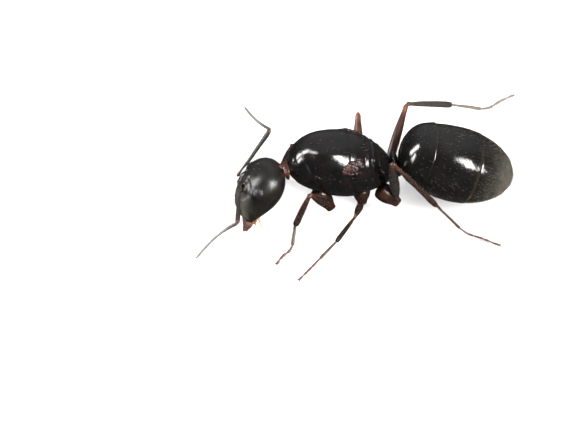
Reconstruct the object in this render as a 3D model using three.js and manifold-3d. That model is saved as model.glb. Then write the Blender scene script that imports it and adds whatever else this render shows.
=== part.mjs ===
// A queen carpenter ant, wings shed, standing on six feet: a life-size still model.
// Millimetres, +Z up, floor at Z = 0. The ant faces -X and its left side is -Y.
import * as THREE from 'three';
import { mergeVertices } from 'three/addons/utils/BufferGeometryUtils.js';
import Module from 'manifold-3d';

const wasm = await Module();
wasm.setup();

// ---- driving dimensions ------------------------------------------------------------

const seamGap = 0.04;            // clear width of every seam between two plates
const bodyTurn = 5.9;            // degrees the whole body is turned towards its left

const head = {
  center: [-5.19, -0.83, 2.68],
  turn: 24.4,                    // degrees to the left of the body's line
  nod: 61.4,                     // degrees the face hangs below level
  lean: 25,                      // degrees the crown is tipped over to the right
  back: -2.36,                   // occiput, along the head's own axis
  front: 1.2,                    // edge that carries the mandibles
  socketAlong: -0.62,            // antenna sockets
  socketApart: 0.6,
  socketUp: 1.28,
  socketRadius: 0.24,
  ocellusRadius: 0.12,
  eyeAlong: -1.0,
  eyeOut: 1.4,
  eyeUp: 0.58,
  eyeTilt: 30,                   // degrees the eyes look up from straight out
  eyeHalf: [0.42, 0.28, 0.35],
};
// Half width, height above and depth below the axis, from the occiput to the front edge.
const headWidth = [[-2.36, 0.5], [-2.25, 0.94], [-2.0, 1.3], [-1.6, 1.54], [-1.0, 1.66],
  [-0.3, 1.6], [0.4, 1.34], [0.9, 1.12], [1.2, 0.96]];
const headTop = [[-2.36, 0.14], [-2.25, 0.5], [-2.0, 0.88], [-1.5, 1.2], [-0.8, 1.38],
  [-0.1, 1.36], [0.5, 1.18], [0.9, 0.92], [1.2, 0.6]];
const headUnder = [[-2.36, 0.3], [-2.25, 0.6], [-2.0, 0.88], [-1.5, 1.1], [-0.8, 1.16],
  [-0.1, 1.0], [0.5, 0.72], [0.9, 0.52], [1.2, 0.38]];

// Back line, belly line and half width of the trunk, from the neck to the waist.
const trunkTop = [[-3.36, 4.55], [-3.22, 5.08], [-2.9, 5.55], [-2.4, 5.95], [-1.9, 6.18], [-1.0, 6.28],
  [0.0, 6.16], [0.6, 5.97], [1.3, 5.6], [1.9, 5.08], [2.35, 4.52], [2.64, 4.0], [2.74, 3.7]];
const trunkUnder = [[-3.36, 4.1], [-3.22, 3.7], [-2.9, 3.35], [-2.4, 3.0], [-1.9, 2.74], [-1.0, 2.34],
  [0.0, 2.12], [0.6, 2.15], [1.3, 2.3], [1.9, 2.46], [2.35, 2.66], [2.64, 2.88], [2.74, 3.05]];
const trunkWidth = [[-3.36, 0.36], [-3.22, 0.76], [-2.9, 1.12], [-2.4, 1.42], [-1.9, 1.62], [-1.0, 1.82],
  [0.0, 1.88], [0.6, 1.76], [1.3, 1.5], [1.9, 1.22], [2.35, 0.95], [2.64, 0.68], [2.74, 0.42]];

const gaster = {
  front: [3.14, 0.12, 4.75],
  length: 6.95,
  turn: -4.9,                    // tail a little towards the left
  droop: 20.5,
  radius: 2.22,
  crown: 3.6,                    // how blunt the front is above, and below
  belly: 2.4,
  joints: [0, 0.235, 0.64, 0.85, 0.945, 1],   // rear edges of the five segments, as shares
  step: 0.03,                    // each segment tucks under the one in front by this
  sides: 24,
};

const legs = {
  front: { hip: [-2.3, 0.62, 3.15], trochanter: [-0.9, 1.08, 1.62], coxa: 0.46, femur: 3.3, tibia: 2.9,
    basitarsus: 1.36, tarsus: 1.2 },
  mid: { hip: [0.35, 0.8, 2.9], trochanter: [0.88, 1.18, 2.03], coxa: 0.5, femur: 3.6, tibia: 3.4,
    basitarsus: 1.75, tarsus: 1.5 },
  hind: { hip: [1.75, 0.66, 2.9], trochanter: [2.75, 1.25, 1.82], coxa: 0.54, femur: 4.3, tibia: 4.3,
    basitarsus: 2.5, tarsus: 2.12 },
};
// Radii of the leg's sections; sole is the height of a foot's axis above the floor at its end, and
// pad the level length that the foot stands on.
const limb = { trochanter: 0.25, femur: 0.29, knee: 0.25, tibia: 0.25, tarsus: 0.25, sole: 0.19, pad: 0.3 };

// Swing moves the end of the coxa back along the body. Each pair is [degrees out from straight
// ahead, degrees above level]; the last section of a foot has only the first, because it comes
// down to the floor.
const stance = {
  left: {
    front: { swing: 0, femur: [46, 53], tibia: [-25, -72], basitarsus: [70, -44], tarsus: 31 },
    mid: { swing: 0, femur: [76, 31], tibia: [-51, -64], basitarsus: [42, -13], tarsus: 42 },
    hind: { swing: 0.2, femur: [63, 76], tibia: [173, -53], basitarsus: [166, -49], tarsus: 162 },
  },
  right: {
    front: { swing: -0.1, femur: [17, 54], tibia: [49, -72], basitarsus: [58, -27], tarsus: -20 },
    mid: { swing: 0, femur: [96, 31], tibia: [98, -69], basitarsus: [16, -10], tarsus: 8 },
    hind: { swing: -0.2, femur: [114, 29], tibia: [144, -34], basitarsus: [163, -28], tarsus: 144 },
  },
};

const antenna = {
  scape: 3.6,
  rootUp: 1.38,                  // height of the scapes' roots over the head's axis
  scapeRadius: 0.25,
  bow: { left: 0.15, right: 0.05 },  // how far the scape arches away from the face
  whip: 4.0,
  whipRadius: 0.25,
  beads: 11,
};
// The third number of a lean is the distance of the feeler's bend from the elbow.
const antennaPose = {
  left: { scape: [81.3, 10.4], lean: [-8, -30, 1.4], whip: [-12.5, -52.4] },
  right: { scape: [161, 55.1], lean: [62, -26, 1.8], whip: [71.7, -22] },
};

// ---- finishes ----------------------------------------------------------------------

const shell = (color, roughness) => new THREE.MeshStandardMaterial({ color, roughness, metalness: 0 });
const finishes = {
  blackShell: () => shell(0x0c0b0b, 0.28),
  satinShell: () => shell(0x141210, 0.42),
  gasterShell: () => shell(0x15120f, 0.34),
  redLimb: () => shell(0x2a120c, 0.38),
  eyeGlass: () => shell(0x060606, 0.12),
  paleMouth: () => shell(0x8a4a20, 0.5),
};

// ---- small tools -------------------------------------------------------------------

const degrees = THREE.MathUtils.degToRad;
const vector = (list) => new THREE.Vector3(...list);
const sideSign = { left: -1, right: 1 };

// Smooth curve through [place, value] pairs.
function profile(pairs) {
  const slope = pairs.map((_, i) => {
    const before = pairs[Math.max(i - 1, 0)];
    const after = pairs[Math.min(i + 1, pairs.length - 1)];
    return (after[1] - before[1]) / (after[0] - before[0]);
  });
  return (place) => {
    let i = 0;
    while (i < pairs.length - 2 && place > pairs[i + 1][0]) i += 1;
    const span = pairs[i + 1][0] - pairs[i][0];
    const t = THREE.MathUtils.clamp((place - pairs[i][0]) / span, 0, 1);
    const s = 1 - t;
    return s * s * (1 + 2 * t) * pairs[i][1] + t * t * (3 - 2 * t) * pairs[i + 1][1]
      + t * s * s * span * slope[i] - t * t * s * span * slope[i + 1];
  };
}

// Closed skin over rings of points, each end closed by a fan to its ring's middle.
function skin(rings) {
  const sides = rings[0].length;
  const points = rings.flat();
  const middle = (ring) => ring.reduce((sum, p) => sum.add(p), new THREE.Vector3()).divideScalar(sides);
  const first = points.push(middle(rings[0])) - 1;
  const last = points.push(middle(rings[rings.length - 1])) - 1;
  const faces = [];
  for (let r = 0; r < rings.length - 1; r += 1) {
    for (let i = 0; i < sides; i += 1) {
      const j = (i + 1) % sides;
      const a = r * sides + i;
      const b = r * sides + j;
      faces.push(a, b, b + sides, a, b + sides, a + sides);
    }
  }
  const end = (rings.length - 1) * sides;
  for (let i = 0; i < sides; i += 1) {
    const j = (i + 1) % sides;
    faces.push(first, j, i, last, end + i, end + j);
  }
  const geometry = new THREE.BufferGeometry();
  const numbers = points.flatMap((p) => p.toArray());
  geometry.setAttribute('position', new THREE.Float32BufferAttribute(numbers, 3));
  geometry.setIndex(faces);
  if (volume(geometry) < 0) {
    for (let i = 0; i < faces.length; i += 3) {
      [faces[i + 1], faces[i + 2]] = [faces[i + 2], faces[i + 1]];
    }
    geometry.setIndex(faces);
  }
  return geometry;
}

function volume(geometry) {
  const corners = geometry.attributes.position;
  const index = geometry.index.array;
  const at = (k) => new THREE.Vector3().fromBufferAttribute(corners, index[k]);
  let sum = 0;
  for (let i = 0; i < index.length; i += 3) sum += at(i).dot(at(i + 1).cross(at(i + 2)));
  return sum / 6;
}

// Ring round the X axis: half width to the sides, its own heights above and below.
function bodyRing(x, halfWidth, top, under, sides, fullness = 1) {
  const ring = [];
  for (let i = 0; i < sides; i += 1) {
    const angle = ((i + 0.5) / sides) * Math.PI * 2;
    const across = Math.sign(Math.cos(angle)) * Math.abs(Math.cos(angle)) ** fullness;
    const up = Math.sign(Math.sin(angle)) * Math.abs(Math.sin(angle)) ** fullness;
    const middle = (top + under) / 2;
    ring.push(new THREE.Vector3(x, across * halfWidth, middle + up * (top - middle)));
  }
  return ring;
}

// Tube along points, with a radius at each; the cross-section turns with the path.
function tube(path, radii, sides) {
  const along = path.map((_, i) => path[Math.min(i + 1, path.length - 1)].clone()
    .sub(path[Math.max(i - 1, 0)]).normalize());
  let across = new THREE.Vector3(0, 0, 1).cross(along[0]);
  if (across.length() < 0.1) across = new THREE.Vector3(0, 1, 0).cross(along[0]);
  const rings = path.map((point, i) => {
    across.addScaledVector(along[i], -across.dot(along[i])).normalize();
    const other = along[i].clone().cross(across);
    return Array.from({ length: sides }, (_, k) => {
      const angle = (k / sides) * Math.PI * 2;
      return point.clone().addScaledVector(across, Math.cos(angle) * radii[i])
        .addScaledVector(other, Math.sin(angle) * radii[i]);
    });
  });
  return skin(rings);
}

// Straight round piece between two points; swell gives [share of length, radius] pairs.
function spindle(from, to, swell, sides, grow = 0) {
  const path = swell.map(([share]) => from.clone().lerp(to, share));
  const along = to.clone().sub(from).normalize();
  path[0].addScaledVector(along, -grow);
  path[path.length - 1].addScaledVector(along, grow);
  return tube(path, swell.map(([, radius]) => radius + grow), sides);
}

// Flat outline pushed through the model: drawn in side view, or in plan when flat is true.
function prism(outline, from, to, flat = false) {
  const shape = new THREE.Shape(outline.map(([a, b]) => new THREE.Vector2(a, b)));
  const geometry = new THREE.ExtrudeGeometry(shape, { depth: to - from, bevelEnabled: false });
  if (flat) return geometry.translate(0, 0, from);
  return geometry.rotateX(Math.PI / 2).translate(0, to, 0);
}

// The outline moved inwards all round by a distance.
function inset(outline, distance) {
  const points = outline.map(([a, b]) => new THREE.Vector2(a, b));
  const turn = THREE.ShapeUtils.area(points) > 0 ? 1 : -1;
  return points.map((point, i) => {
    const before = points[(i + points.length - 1) % points.length];
    const after = points[(i + 1) % points.length];
    const one = point.clone().sub(before).normalize();
    const two = after.clone().sub(point).normalize();
    const inward = new THREE.Vector2(-one.y - two.y, one.x + two.x).multiplyScalar(turn);
    const miter = inward.lengthSq() / 2;
    return point.clone().addScaledVector(inward, distance / miter).toArray();
  });
}

function solid(geometry) {
  const bare = geometry.clone();
  bare.deleteAttribute('normal');
  bare.deleteAttribute('uv');
  const merged = mergeVertices(bare, 1e-5);
  return new wasm.Manifold(new wasm.Mesh({
    numProp: 3,
    vertProperties: new Float32Array(merged.attributes.position.array),
    triVerts: new Uint32Array(merged.index.array),
  }));
}

function surface(body) {
  const mesh = body.getMesh();
  const geometry = new THREE.BufferGeometry();
  geometry.setAttribute('position', new THREE.BufferAttribute(mesh.vertProperties, 3));
  geometry.setIndex(new THREE.BufferAttribute(mesh.triVerts, 1));
  return geometry;
}

const without = (body, ...others) => others.reduce((left, other) => left.subtract(other), body);

// The main piece of a body that a cut has left with crumbs.
const mainPiece = (body) => body.decompose().sort((one, two) => two.volume() - one.volume())[0];

// Direction on one side of the body, from the angle out from straight ahead and the angle up.
function heading(side, [out, up]) {
  const level = Math.cos(degrees(up));
  return new THREE.Vector3(-Math.cos(degrees(out)) * level,
    sideSign[side] * Math.sin(degrees(out)) * level, Math.sin(degrees(up)));
}

function add(group, name, geometry, finish) {
  const mesh = new THREE.Mesh(geometry, finishes[finish]());
  mesh.geometry.computeVertexNormals();
  mesh.name = name;
  group.add(mesh);
  return mesh;
}

const ant = new THREE.Group();
ant.rotation.z = degrees(bodyTurn);

// ---- trunk -------------------------------------------------------------------------

const trunkPlaces = [-3.36, -3.3, -3.2, -3.05, -2.85, -2.55, -2.2, -1.7, -1.1, -0.5, 0.1, 0.7, 1.25,
  1.7, 2.1, 2.4, 2.6, 2.7, 2.74];
const trunkSides = 24;
const trunkFullness = 0.94;

function trunkHull(grow = 0) {
  const top = profile(trunkTop);
  const under = profile(trunkUnder);
  const width = profile(trunkWidth);
  const middle = (trunkPlaces[0] + trunkPlaces[trunkPlaces.length - 1]) / 2;
  const stretch = 1 + grow / (trunkPlaces[trunkPlaces.length - 1] - middle);
  return solid(skin(trunkPlaces.map((x) => bodyRing(middle + (x - middle) * stretch, width(x) + grow,
    top(x) + grow, under(x) - grow, trunkSides, trunkFullness))));
}

// Points where seams meet, in side view.
const collarTop = [-2.66, 7];
const collarShoulder = [-2.62, 5.75];
const collarFlank = [-2.1, 4.95];
const collarCorner = [-1.25, 4.5];
const collarBack = [-1.15, 3.9];
const collarFoot = [-1.8, 2.7];
const wingRoot = [-0.35, 5.1];
const shieldCorner = [0.12, 5.3];
const shieldTop = [0.12, 7];
const bossCorner = [1.12, 5.0];
const bossTop = [1.16, 7];
const flankWaist = [0.92, 4.2];
const flankFoot = [1.25, 3.0];

const trunkPlates = {
  pronotum: [[-4, 7], collarTop, collarShoulder, collarFlank, collarCorner, collarBack, collarFoot,
    [-1.8, 1.5], [-4, 1.5]],
  mesoscutum: [collarTop, shieldTop, shieldCorner, wingRoot, collarCorner, collarFlank, collarShoulder],
  scutellum: [shieldTop, bossTop, bossCorner, shieldCorner],
  mesopleura: [collarCorner, wingRoot, shieldCorner, bossCorner, flankWaist, flankFoot, [1.3, 1.5],
    [-1.8, 1.5], collarFoot, collarBack],
  propodeum: [bossTop, [4, 7], [4, 1.5], [1.3, 1.5], flankFoot, flankWaist, bossCorner],
};

const trunk = trunkHull();
const aroundTrunk = trunkHull(seamGap);
for (const [name, outline] of Object.entries(trunkPlates)) {
  const plate = trunk.intersect(solid(prism(inset(outline, seamGap / 2), -3, 3)));
  add(ant, name, surface(plate), 'blackShell');
}

// What is left of the shed wings: a scale and a stump on each side.
const stumpPlace = [0.3, 1.28, 5.24];
const stumpHalf = [0.56, 0.24, 0.26];
for (const side of ['left', 'right']) {
  const ball = new THREE.SphereGeometry(1, 10, 7).scale(...stumpHalf);
  ball.rotateX(sideSign[side] * degrees(-40));
  ball.translate(stumpPlace[0], sideSign[side] * stumpPlace[1], stumpPlace[2]);
  add(ant, `wing_stump_${side}`, surface(without(solid(ball), aroundTrunk)), 'redLimb');
}

// ---- head --------------------------------------------------------------------------

const headGroup = new THREE.Group();
headGroup.position.set(...head.center);
headGroup.rotation.set(degrees(-head.lean), degrees(-head.nod), degrees(head.turn), 'ZYX');
headGroup.updateMatrix();
ant.add(headGroup);

const headPlaces = [-2.36, -2.3, -2.2, -2.05, -1.8, -1.45, -1.0, -0.5, 0.0, 0.45, 0.8, 1.05, 1.2];
const headSides = 20;
const headFullness = 0.9;

// In its own frame the head faces -X with its face up; places run from the occiput forwards.
function headHull(grow = 0) {
  const width = profile(headWidth);
  const top = profile(headTop);
  const under = profile(headUnder);
  const middle = (head.back + head.front) / 2;
  const stretch = 1 + grow / (head.front - middle);
  return solid(skin(headPlaces.map((u) => bodyRing(-(middle + (u - middle) * stretch),
    width(u) + grow, top(u) + grow, -under(u) - grow, headSides, headFullness))));
}

const capsule = headHull();
const aroundHead = headHull(seamGap);
const clypeusOutline = [[-1.5, -0.58], [-1.5, 0.58], [-0.64, 0.74], [-0.26, 0.4], [-0.26, -0.4],
  [-0.64, -0.74]];
const clypeusFloor = 0.2;

const socketBalls = Object.values(sideSign).map((sign) => {
  const ball = new THREE.SphereGeometry(head.socketRadius, 9, 6);
  return solid(ball.translate(-head.socketAlong, sign * head.socketApart, head.socketUp));
});
const ocelli = [[-1.72, 0, 1.05], [-1.98, 0.27, 0.86], [-1.98, -0.27, 0.86]].map(([u, out, up]) => {
  const ball = new THREE.SphereGeometry(head.ocellusRadius, 7, 5);
  return solid(ball.translate(-u, out, up));
});
const clypeusBlock = (grow) => solid(prism(inset(clypeusOutline, -grow), clypeusFloor - grow, 2, true));
const browed = ocelli.reduce((left, ball) => left.add(ball), capsule);
const capsuleBody = without(browed, clypeusBlock(seamGap), ...socketBalls);
add(headGroup, 'head_capsule', surface(capsuleBody), 'satinShell');
add(headGroup, 'clypeus', surface(capsule.intersect(clypeusBlock(0))), 'satinShell');

for (const [side, sign] of Object.entries(sideSign)) {
  const ball = new THREE.SphereGeometry(1, 12, 8).scale(...head.eyeHalf);
  ball.rotateX(sign * degrees(head.eyeTilt));
  ball.translate(-head.eyeAlong, sign * head.eyeOut, head.eyeUp);
  add(headGroup, `eye_${side}`, surface(without(solid(ball), aroundHead)), 'eyeGlass');
}

// Toothed mandible drawn in plan: base, bulged outer edge, tip, then teeth back to the base.
const mandible = {
  base: -0.95,
  tip: -2.4,
  heel: -1.42,                   // last tooth
  out: 0.74,
  inner: 0.26,
  teeth: 5,
  tooth: 0.1,
  thick: 0.48,
  level: 0.28,                   // height over the head's axis, before the nod
  nod: -16,
};
function mandibleOutline() {
  const m = mandible;
  const outer = new THREE.CubicBezierCurve(new THREE.Vector2(m.base, m.out),
    new THREE.Vector2(-1.6, m.out + 0.08), new THREE.Vector2(-2.15, 0.38), new THREE.Vector2(m.tip, 0.07));
  const points = outer.getPoints(8).map((p) => [p.x, p.y]);
  const step = (m.heel - m.tip) / m.teeth;
  for (let i = 1; i < m.teeth; i += 1) {
    const x = m.tip + step * i;
    points.push([x - step * 0.35, 0.07 + m.tooth]);
    points.push([x, 0.06]);
  }
  points.push([m.heel, 0.14], [m.base, m.inner]);
  return points;
}
for (const [side, sign] of Object.entries(sideSign)) {
  const outline = mandibleOutline().map(([x, y]) => [x, y * sign]);
  if (sign > 0) outline.reverse();
  const under = mandible.level - mandible.thick / 2;
  const blade = solid(prism(outline, under, under + mandible.thick, true).rotateY(degrees(mandible.nod)));
  add(headGroup, `mandible_${side}`, surface(without(blade, aroundHead)), 'redLimb');
}

// Mouthparts under the jaws, with the pair of longer feelers hanging from them.
const mouth = {
  lobe: [[-0.7, 0, -0.62], [-2.0, 0, -0.74]],
  lobeSwell: [[0, 0.16], [0.25, 0.26], [0.7, 0.25], [1, 0.14]],
  feeler: [[-1.15, 0.3, -0.7], [-1.42, 0.44, -0.95], [-1.6, 0.54, -1.14]],
  feelerRadius: 0.16,
};
let mouthBody = solid(spindle(vector(mouth.lobe[0]), vector(mouth.lobe[1]), mouth.lobeSwell, 8));
for (const sign of Object.values(sideSign)) {
  const path = mouth.feeler.map(([x, y, z]) => new THREE.Vector3(x, y * sign, z));
  const curve = new THREE.CatmullRomCurve3(path).getPoints(5);
  const radii = curve.map((_, i) => mouth.feelerRadius * (i === 5 ? 0.6 : 1));
  mouthBody = mouthBody.add(solid(tube(curve, radii, 6)));
}
const jaws = ['left', 'right'].map((side) => solid(headGroup.getObjectByName(`mandible_${side}`).geometry));
add(headGroup, 'mouthparts', surface(without(mouthBody, aroundHead, ...jaws)), 'paleMouth');

// ---- neck, waist and gaster --------------------------------------------------------

const inAntFrame = (body) => solid(surface(body).applyMatrix4(headGroup.matrix));
const occiput = new THREE.Vector3(2.0, 0, -0.62).applyMatrix4(headGroup.matrix);
const collar = new THREE.Vector3(-3.1, 0, 4.15);
const neckHull = solid(spindle(collar, occiput, [[0, 0.46], [0.4, 0.42], [0.8, 0.46], [1, 0.44]], 10));
add(ant, 'neck', surface(without(neckHull, aroundTrunk, inAntFrame(aroundHead))), 'redLimb');

const gasterGroup = new THREE.Group();
gasterGroup.position.set(...gaster.front);
gasterGroup.rotation.set(0, degrees(gaster.droop), degrees(gaster.turn), 'ZYX');
gasterGroup.updateMatrix();
ant.add(gasterGroup);

// Radius of the gaster at a share of its length: blunt in front, evenly rounded behind.
function gasterRadius(share, frontPower) {
  const s = 2 * share - 1;
  const power = s < 0 ? frontPower : 2;
  return gaster.radius * Math.sqrt(Math.max(0, 1 - Math.abs(s) ** power));
}

function gasterSegment(from, to, tuck, grow = 0) {
  const rings = [];
  const steps = Math.max(3, Math.round((to - from) * 16));
  for (let i = 0; i <= steps; i += 1) {
    const part = (1 - Math.cos((Math.PI * i) / steps)) / 2;
    const share = THREE.MathUtils.clamp(from + (to - from) * part, 0.001, 0.999);
    const shift = grow - tuck * (1 - part);
    const crown = gasterRadius(share, gaster.crown) + shift;
    const belly = gasterRadius(share, gaster.belly) + shift;
    rings.push(bodyRing(share * gaster.length, crown, crown, -belly, gaster.sides));
  }
  return skin(rings);
}

gaster.joints.slice(1).forEach((to, i) => {
  const gap = seamGap / gaster.length / 2;
  const from = gaster.joints[i] + (i ? gap : 0);
  const segment = gasterSegment(from, to - (to < 1 ? gap : 0), i ? gaster.step : 0);
  add(gasterGroup, `gaster_${i + 1}`, segment, i ? 'gasterShell' : 'blackShell');
});
const aroundGaster = solid(gasterSegment(0, 1, 0, seamGap).applyMatrix4(gasterGroup.matrix));

// Waist: one upright scale on a short stalk, given as [height, middle, half length, half width].
const waist = [[2.84, 3.0, 0.3, 0.26], [3.0, 2.98, 0.5, 0.38], [3.35, 2.95, 0.5, 0.46],
  [3.75, 2.88, 0.36, 0.55], [4.1, 2.82, 0.24, 0.6], [4.36, 2.79, 0.16, 0.52], [4.46, 2.78, 0.08, 0.34]];
const waistSides = 10;
const waistOut = 0.08;
const waistRing = ([height, along, halfLength, halfWidth]) => Array.from({ length: waistSides }, (_, i) => {
  const angle = (i / waistSides) * Math.PI * 2;
  const out = waistOut + Math.sin(angle) * halfWidth;
  return new THREE.Vector3(along + Math.cos(angle) * halfLength, out, height);
});
const waistHull = solid(skin(waist.map(waistRing)));
add(ant, 'petiole', surface(without(waistHull, aroundTrunk, aroundGaster)), 'blackShell');

// ---- antennae ----------------------------------------------------------------------

function bowed(from, to, sag, steps) {
  const middle = from.clone().lerp(to, 0.5).add(sag);
  return new THREE.QuadraticBezierCurve3(from, middle, to).getPoints(steps);
}

for (const [side, sign] of Object.entries(sideSign)) {
  const pose = antennaPose[side];
  const socket = new THREE.Vector3(-head.socketAlong, sign * head.socketApart, antenna.rootUp);
  socket.applyMatrix4(headGroup.matrix);
  const elbow = socket.clone().addScaledVector(heading(side, pose.scape), antenna.scape);
  const face = new THREE.Vector3(0, 0, 1).transformDirection(headGroup.matrix);
  const path = bowed(socket, elbow, face.multiplyScalar(antenna.bow[side]), 6);
  const scapeRadii = (grow) => path.map((_, i) => (i === 0 ? 0.2 : antenna.scapeRadius) + grow);
  const scape = solid(tube(path, scapeRadii(0), 8));
  add(ant, `scape_${side}`, surface(without(scape, inAntFrame(aroundHead))), 'redLimb');

  const aroundScape = solid(tube(path, scapeRadii(seamGap), 8));
  const tip = elbow.clone().addScaledVector(heading(side, pose.whip), antenna.whip);
  const lean = elbow.clone().addScaledVector(heading(side, pose.lean), pose.lean[2]);
  const whip = new THREE.QuadraticBezierCurve3(elbow, lean, tip);
  const places = whip.getSpacedPoints(antenna.beads * 2);
  const radii = places.map((_, i) => antenna.whipRadius * (i % 2 ? 1.04 : 0.92));
  radii[0] = 0.2;
  radii[radii.length - 1] = 0.14;
  const funiculus = solid(tube(places, radii, 6));
  add(ant, `funiculus_${side}`, surface(without(funiculus, aroundScape)), 'redLimb');
}

// ---- legs --------------------------------------------------------------------------

const floorBlock = solid(new THREE.BoxGeometry(60, 60, 4).translate(0, 0, -2));

function buildLeg(side, pair) {
  const size = legs[pair];
  const pose = stance[side][pair];
  const sign = sideSign[side];
  const hip = vector(size.hip).multiply(new THREE.Vector3(1, sign, 1));
  const joint = vector(size.trochanter).multiply(new THREE.Vector3(1, sign, 1));
  joint.x += pose.swing;
  const knee = joint.clone().addScaledVector(heading(side, pose.femur), size.femur);
  const ankle = knee.clone().addScaledVector(heading(side, pose.tibia), size.tibia);
  const heel = ankle.clone().addScaledVector(heading(side, pose.basitarsus), size.basitarsus);
  const descent = size.tarsus - limb.pad;
  const drop = -THREE.MathUtils.radToDeg(Math.asin((heel.z - limb.sole) / descent));
  const toe = heel.clone().addScaledVector(heading(side, [pose.tarsus, drop]), descent);
  const claw = toe.clone().addScaledVector(heading(side, [pose.tarsus, 0]), limb.pad);

  const coxaSwell = [[0, size.coxa * 0.7], [0.3, size.coxa], [0.65, size.coxa * 0.88], [0.9, 0.34],
    [1, 0.24]];
  const femurSwell = [[0, 0.18], [0.03, limb.trochanter], [0.1, limb.trochanter], [0.25, limb.femur],
    [0.6, limb.femur * 0.96], [0.97, limb.knee], [1, 0.18]];
  const tibiaSwell = [[0, 0.2], [0.04, limb.tibia], [0.96, limb.tibia], [1, 0.2]];
  const coxa = (grow) => solid(spindle(hip, joint, coxaSwell, 9, grow));
  const femur = (grow) => solid(spindle(joint, knee, femurSwell, 8, grow));
  const tibia = (grow) => solid(spindle(knee, ankle, tibiaSwell, 8, grow));

  const footPath = [ankle, ankle.clone().lerp(heel, 0.15), heel, heel.clone().lerp(toe, 0.5), toe,
    toe.clone().lerp(claw, 0.8), claw];
  const footRadii = footPath.map(() => limb.tarsus);
  footRadii[0] = 0.18;
  footRadii[footRadii.length - 1] = 0.15;
  const foot = solid(tube(footPath, footRadii, 8));

  const name = (piece) => `${piece}_${side}_${pair}`;
  add(ant, name('coxa'), surface(without(coxa(0), aroundTrunk)), 'redLimb');
  add(ant, name('femur'), surface(mainPiece(without(femur(0), coxa(seamGap), aroundTrunk))), 'redLimb');
  add(ant, name('tibia'), surface(without(tibia(0), femur(seamGap))), 'redLimb');
  add(ant, name('tarsus'), surface(without(foot, tibia(seamGap), floorBlock)), 'redLimb');
}

for (const side of ['left', 'right']) {
  for (const pair of ['front', 'mid', 'hind']) buildLeg(side, pair);
}

// ---- origin: on the floor under the middle of the whole model ----------------------

ant.updateMatrixWorld(true);
const reach = new THREE.Box3().setFromObject(ant, true);
const middle = reach.getCenter(new THREE.Vector3());
ant.position.set(-middle.x, -middle.y, 0);

export default ant;
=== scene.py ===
# Queen ant, wings shed: the looks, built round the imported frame.
import bpy
import bmesh
import math
import numpy as np
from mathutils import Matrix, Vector
from mathutils.bvhtree import BVHTree


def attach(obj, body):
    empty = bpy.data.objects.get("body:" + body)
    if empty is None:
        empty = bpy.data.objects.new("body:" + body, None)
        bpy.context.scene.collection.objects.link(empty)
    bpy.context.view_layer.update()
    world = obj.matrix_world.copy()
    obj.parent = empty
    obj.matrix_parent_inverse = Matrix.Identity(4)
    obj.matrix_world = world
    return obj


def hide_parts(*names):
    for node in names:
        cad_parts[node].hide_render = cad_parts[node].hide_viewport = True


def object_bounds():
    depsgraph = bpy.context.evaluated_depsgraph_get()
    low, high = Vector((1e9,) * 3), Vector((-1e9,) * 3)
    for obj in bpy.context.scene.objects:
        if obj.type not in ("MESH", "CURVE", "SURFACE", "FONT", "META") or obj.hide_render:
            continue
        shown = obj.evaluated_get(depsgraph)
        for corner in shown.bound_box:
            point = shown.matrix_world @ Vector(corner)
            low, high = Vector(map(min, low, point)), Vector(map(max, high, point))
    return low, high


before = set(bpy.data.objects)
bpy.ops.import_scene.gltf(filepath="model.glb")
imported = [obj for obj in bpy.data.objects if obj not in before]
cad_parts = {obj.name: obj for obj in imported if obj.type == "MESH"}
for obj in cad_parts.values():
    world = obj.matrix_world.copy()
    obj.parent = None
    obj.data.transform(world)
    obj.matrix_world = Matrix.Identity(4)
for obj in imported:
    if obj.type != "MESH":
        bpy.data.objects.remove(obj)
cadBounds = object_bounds()

mm = 0.001  # meshes are worked in millimetres and shrunk at the end
lowCorner, highCorner = (np.array(corner) for corner in cadBounds)
length, width = (highCorner - lowCorner)[:2]
bothSides = (("left", -1), ("right", 1))
upwards = np.array([0, 0, 1.0])

cameraSet = {  # faces the ant's left side from half way up the sky
    "lift": 45.0,  # degrees above the floor
    "distance": 0.7,
    "fieldWidth": 1.8207 * length,
    "aimAlong": -0.1914,  # shares of the model's length and width
    "aimAcross": -0.1727,
    "sensor": 36,
}
lightSet = {  # turn, lift, distance, width, height, watts, seen in the gloss
    "windowLight": (46, 36, 0.30, 0.055, 0.17, 2.0, True),
    "sideLight": (-97, 27, 0.30, 0.05, 0.24, 1.1, True),
    "lowSideLight": (-78, 17, 0.30, 0.05, 0.11, 0.45, True),
    "tableWash": (30, 60, 0.5, 0.5, 0.5, 1.9, False),
}
roomSet = {
    "colour": (0.95, 0.96, 1.0, 1),
    "brightWay": (0, 0.6, 0.8),  # the room is brightest far behind the ant and high up
    "from": (0.35, 1.0),
    "glow": (0.065, 0.55),  # strength near and low, far and high
}


def newObject(name, data):
    made = bpy.data.objects.new(name, data)
    bpy.context.scene.collection.objects.link(made)
    return made


def aimFrom(holder, target, turn, lift, distance):  # turn 0 is the camera's side, 90 the tail's
    turn, lift = math.radians(turn), math.radians(lift)
    away = Vector((math.sin(turn) * math.cos(lift), -math.cos(turn) * math.cos(lift), math.sin(lift)))
    holder.location = target + away * distance
    holder.rotation_euler = away.to_track_quat("Z", "Y").to_euler()


def makeCamera():
    middle = (lowCorner + highCorner) / 2
    aim = Vector((middle[0] + cameraSet["aimAlong"] * length, middle[1] + cameraSet["aimAcross"] * width, 0))
    lens = bpy.data.cameras.new("antCamera")
    lens.sensor_width = cameraSet["sensor"]
    lens.lens = cameraSet["sensor"] * cameraSet["distance"] / cameraSet["fieldWidth"]
    lens.clip_start, lens.clip_end = 0.01, 10
    camera = newObject("antCamera", lens)
    aimFrom(camera, aim, 0, cameraSet["lift"], cameraSet["distance"])
    bpy.context.scene.camera = camera


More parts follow.
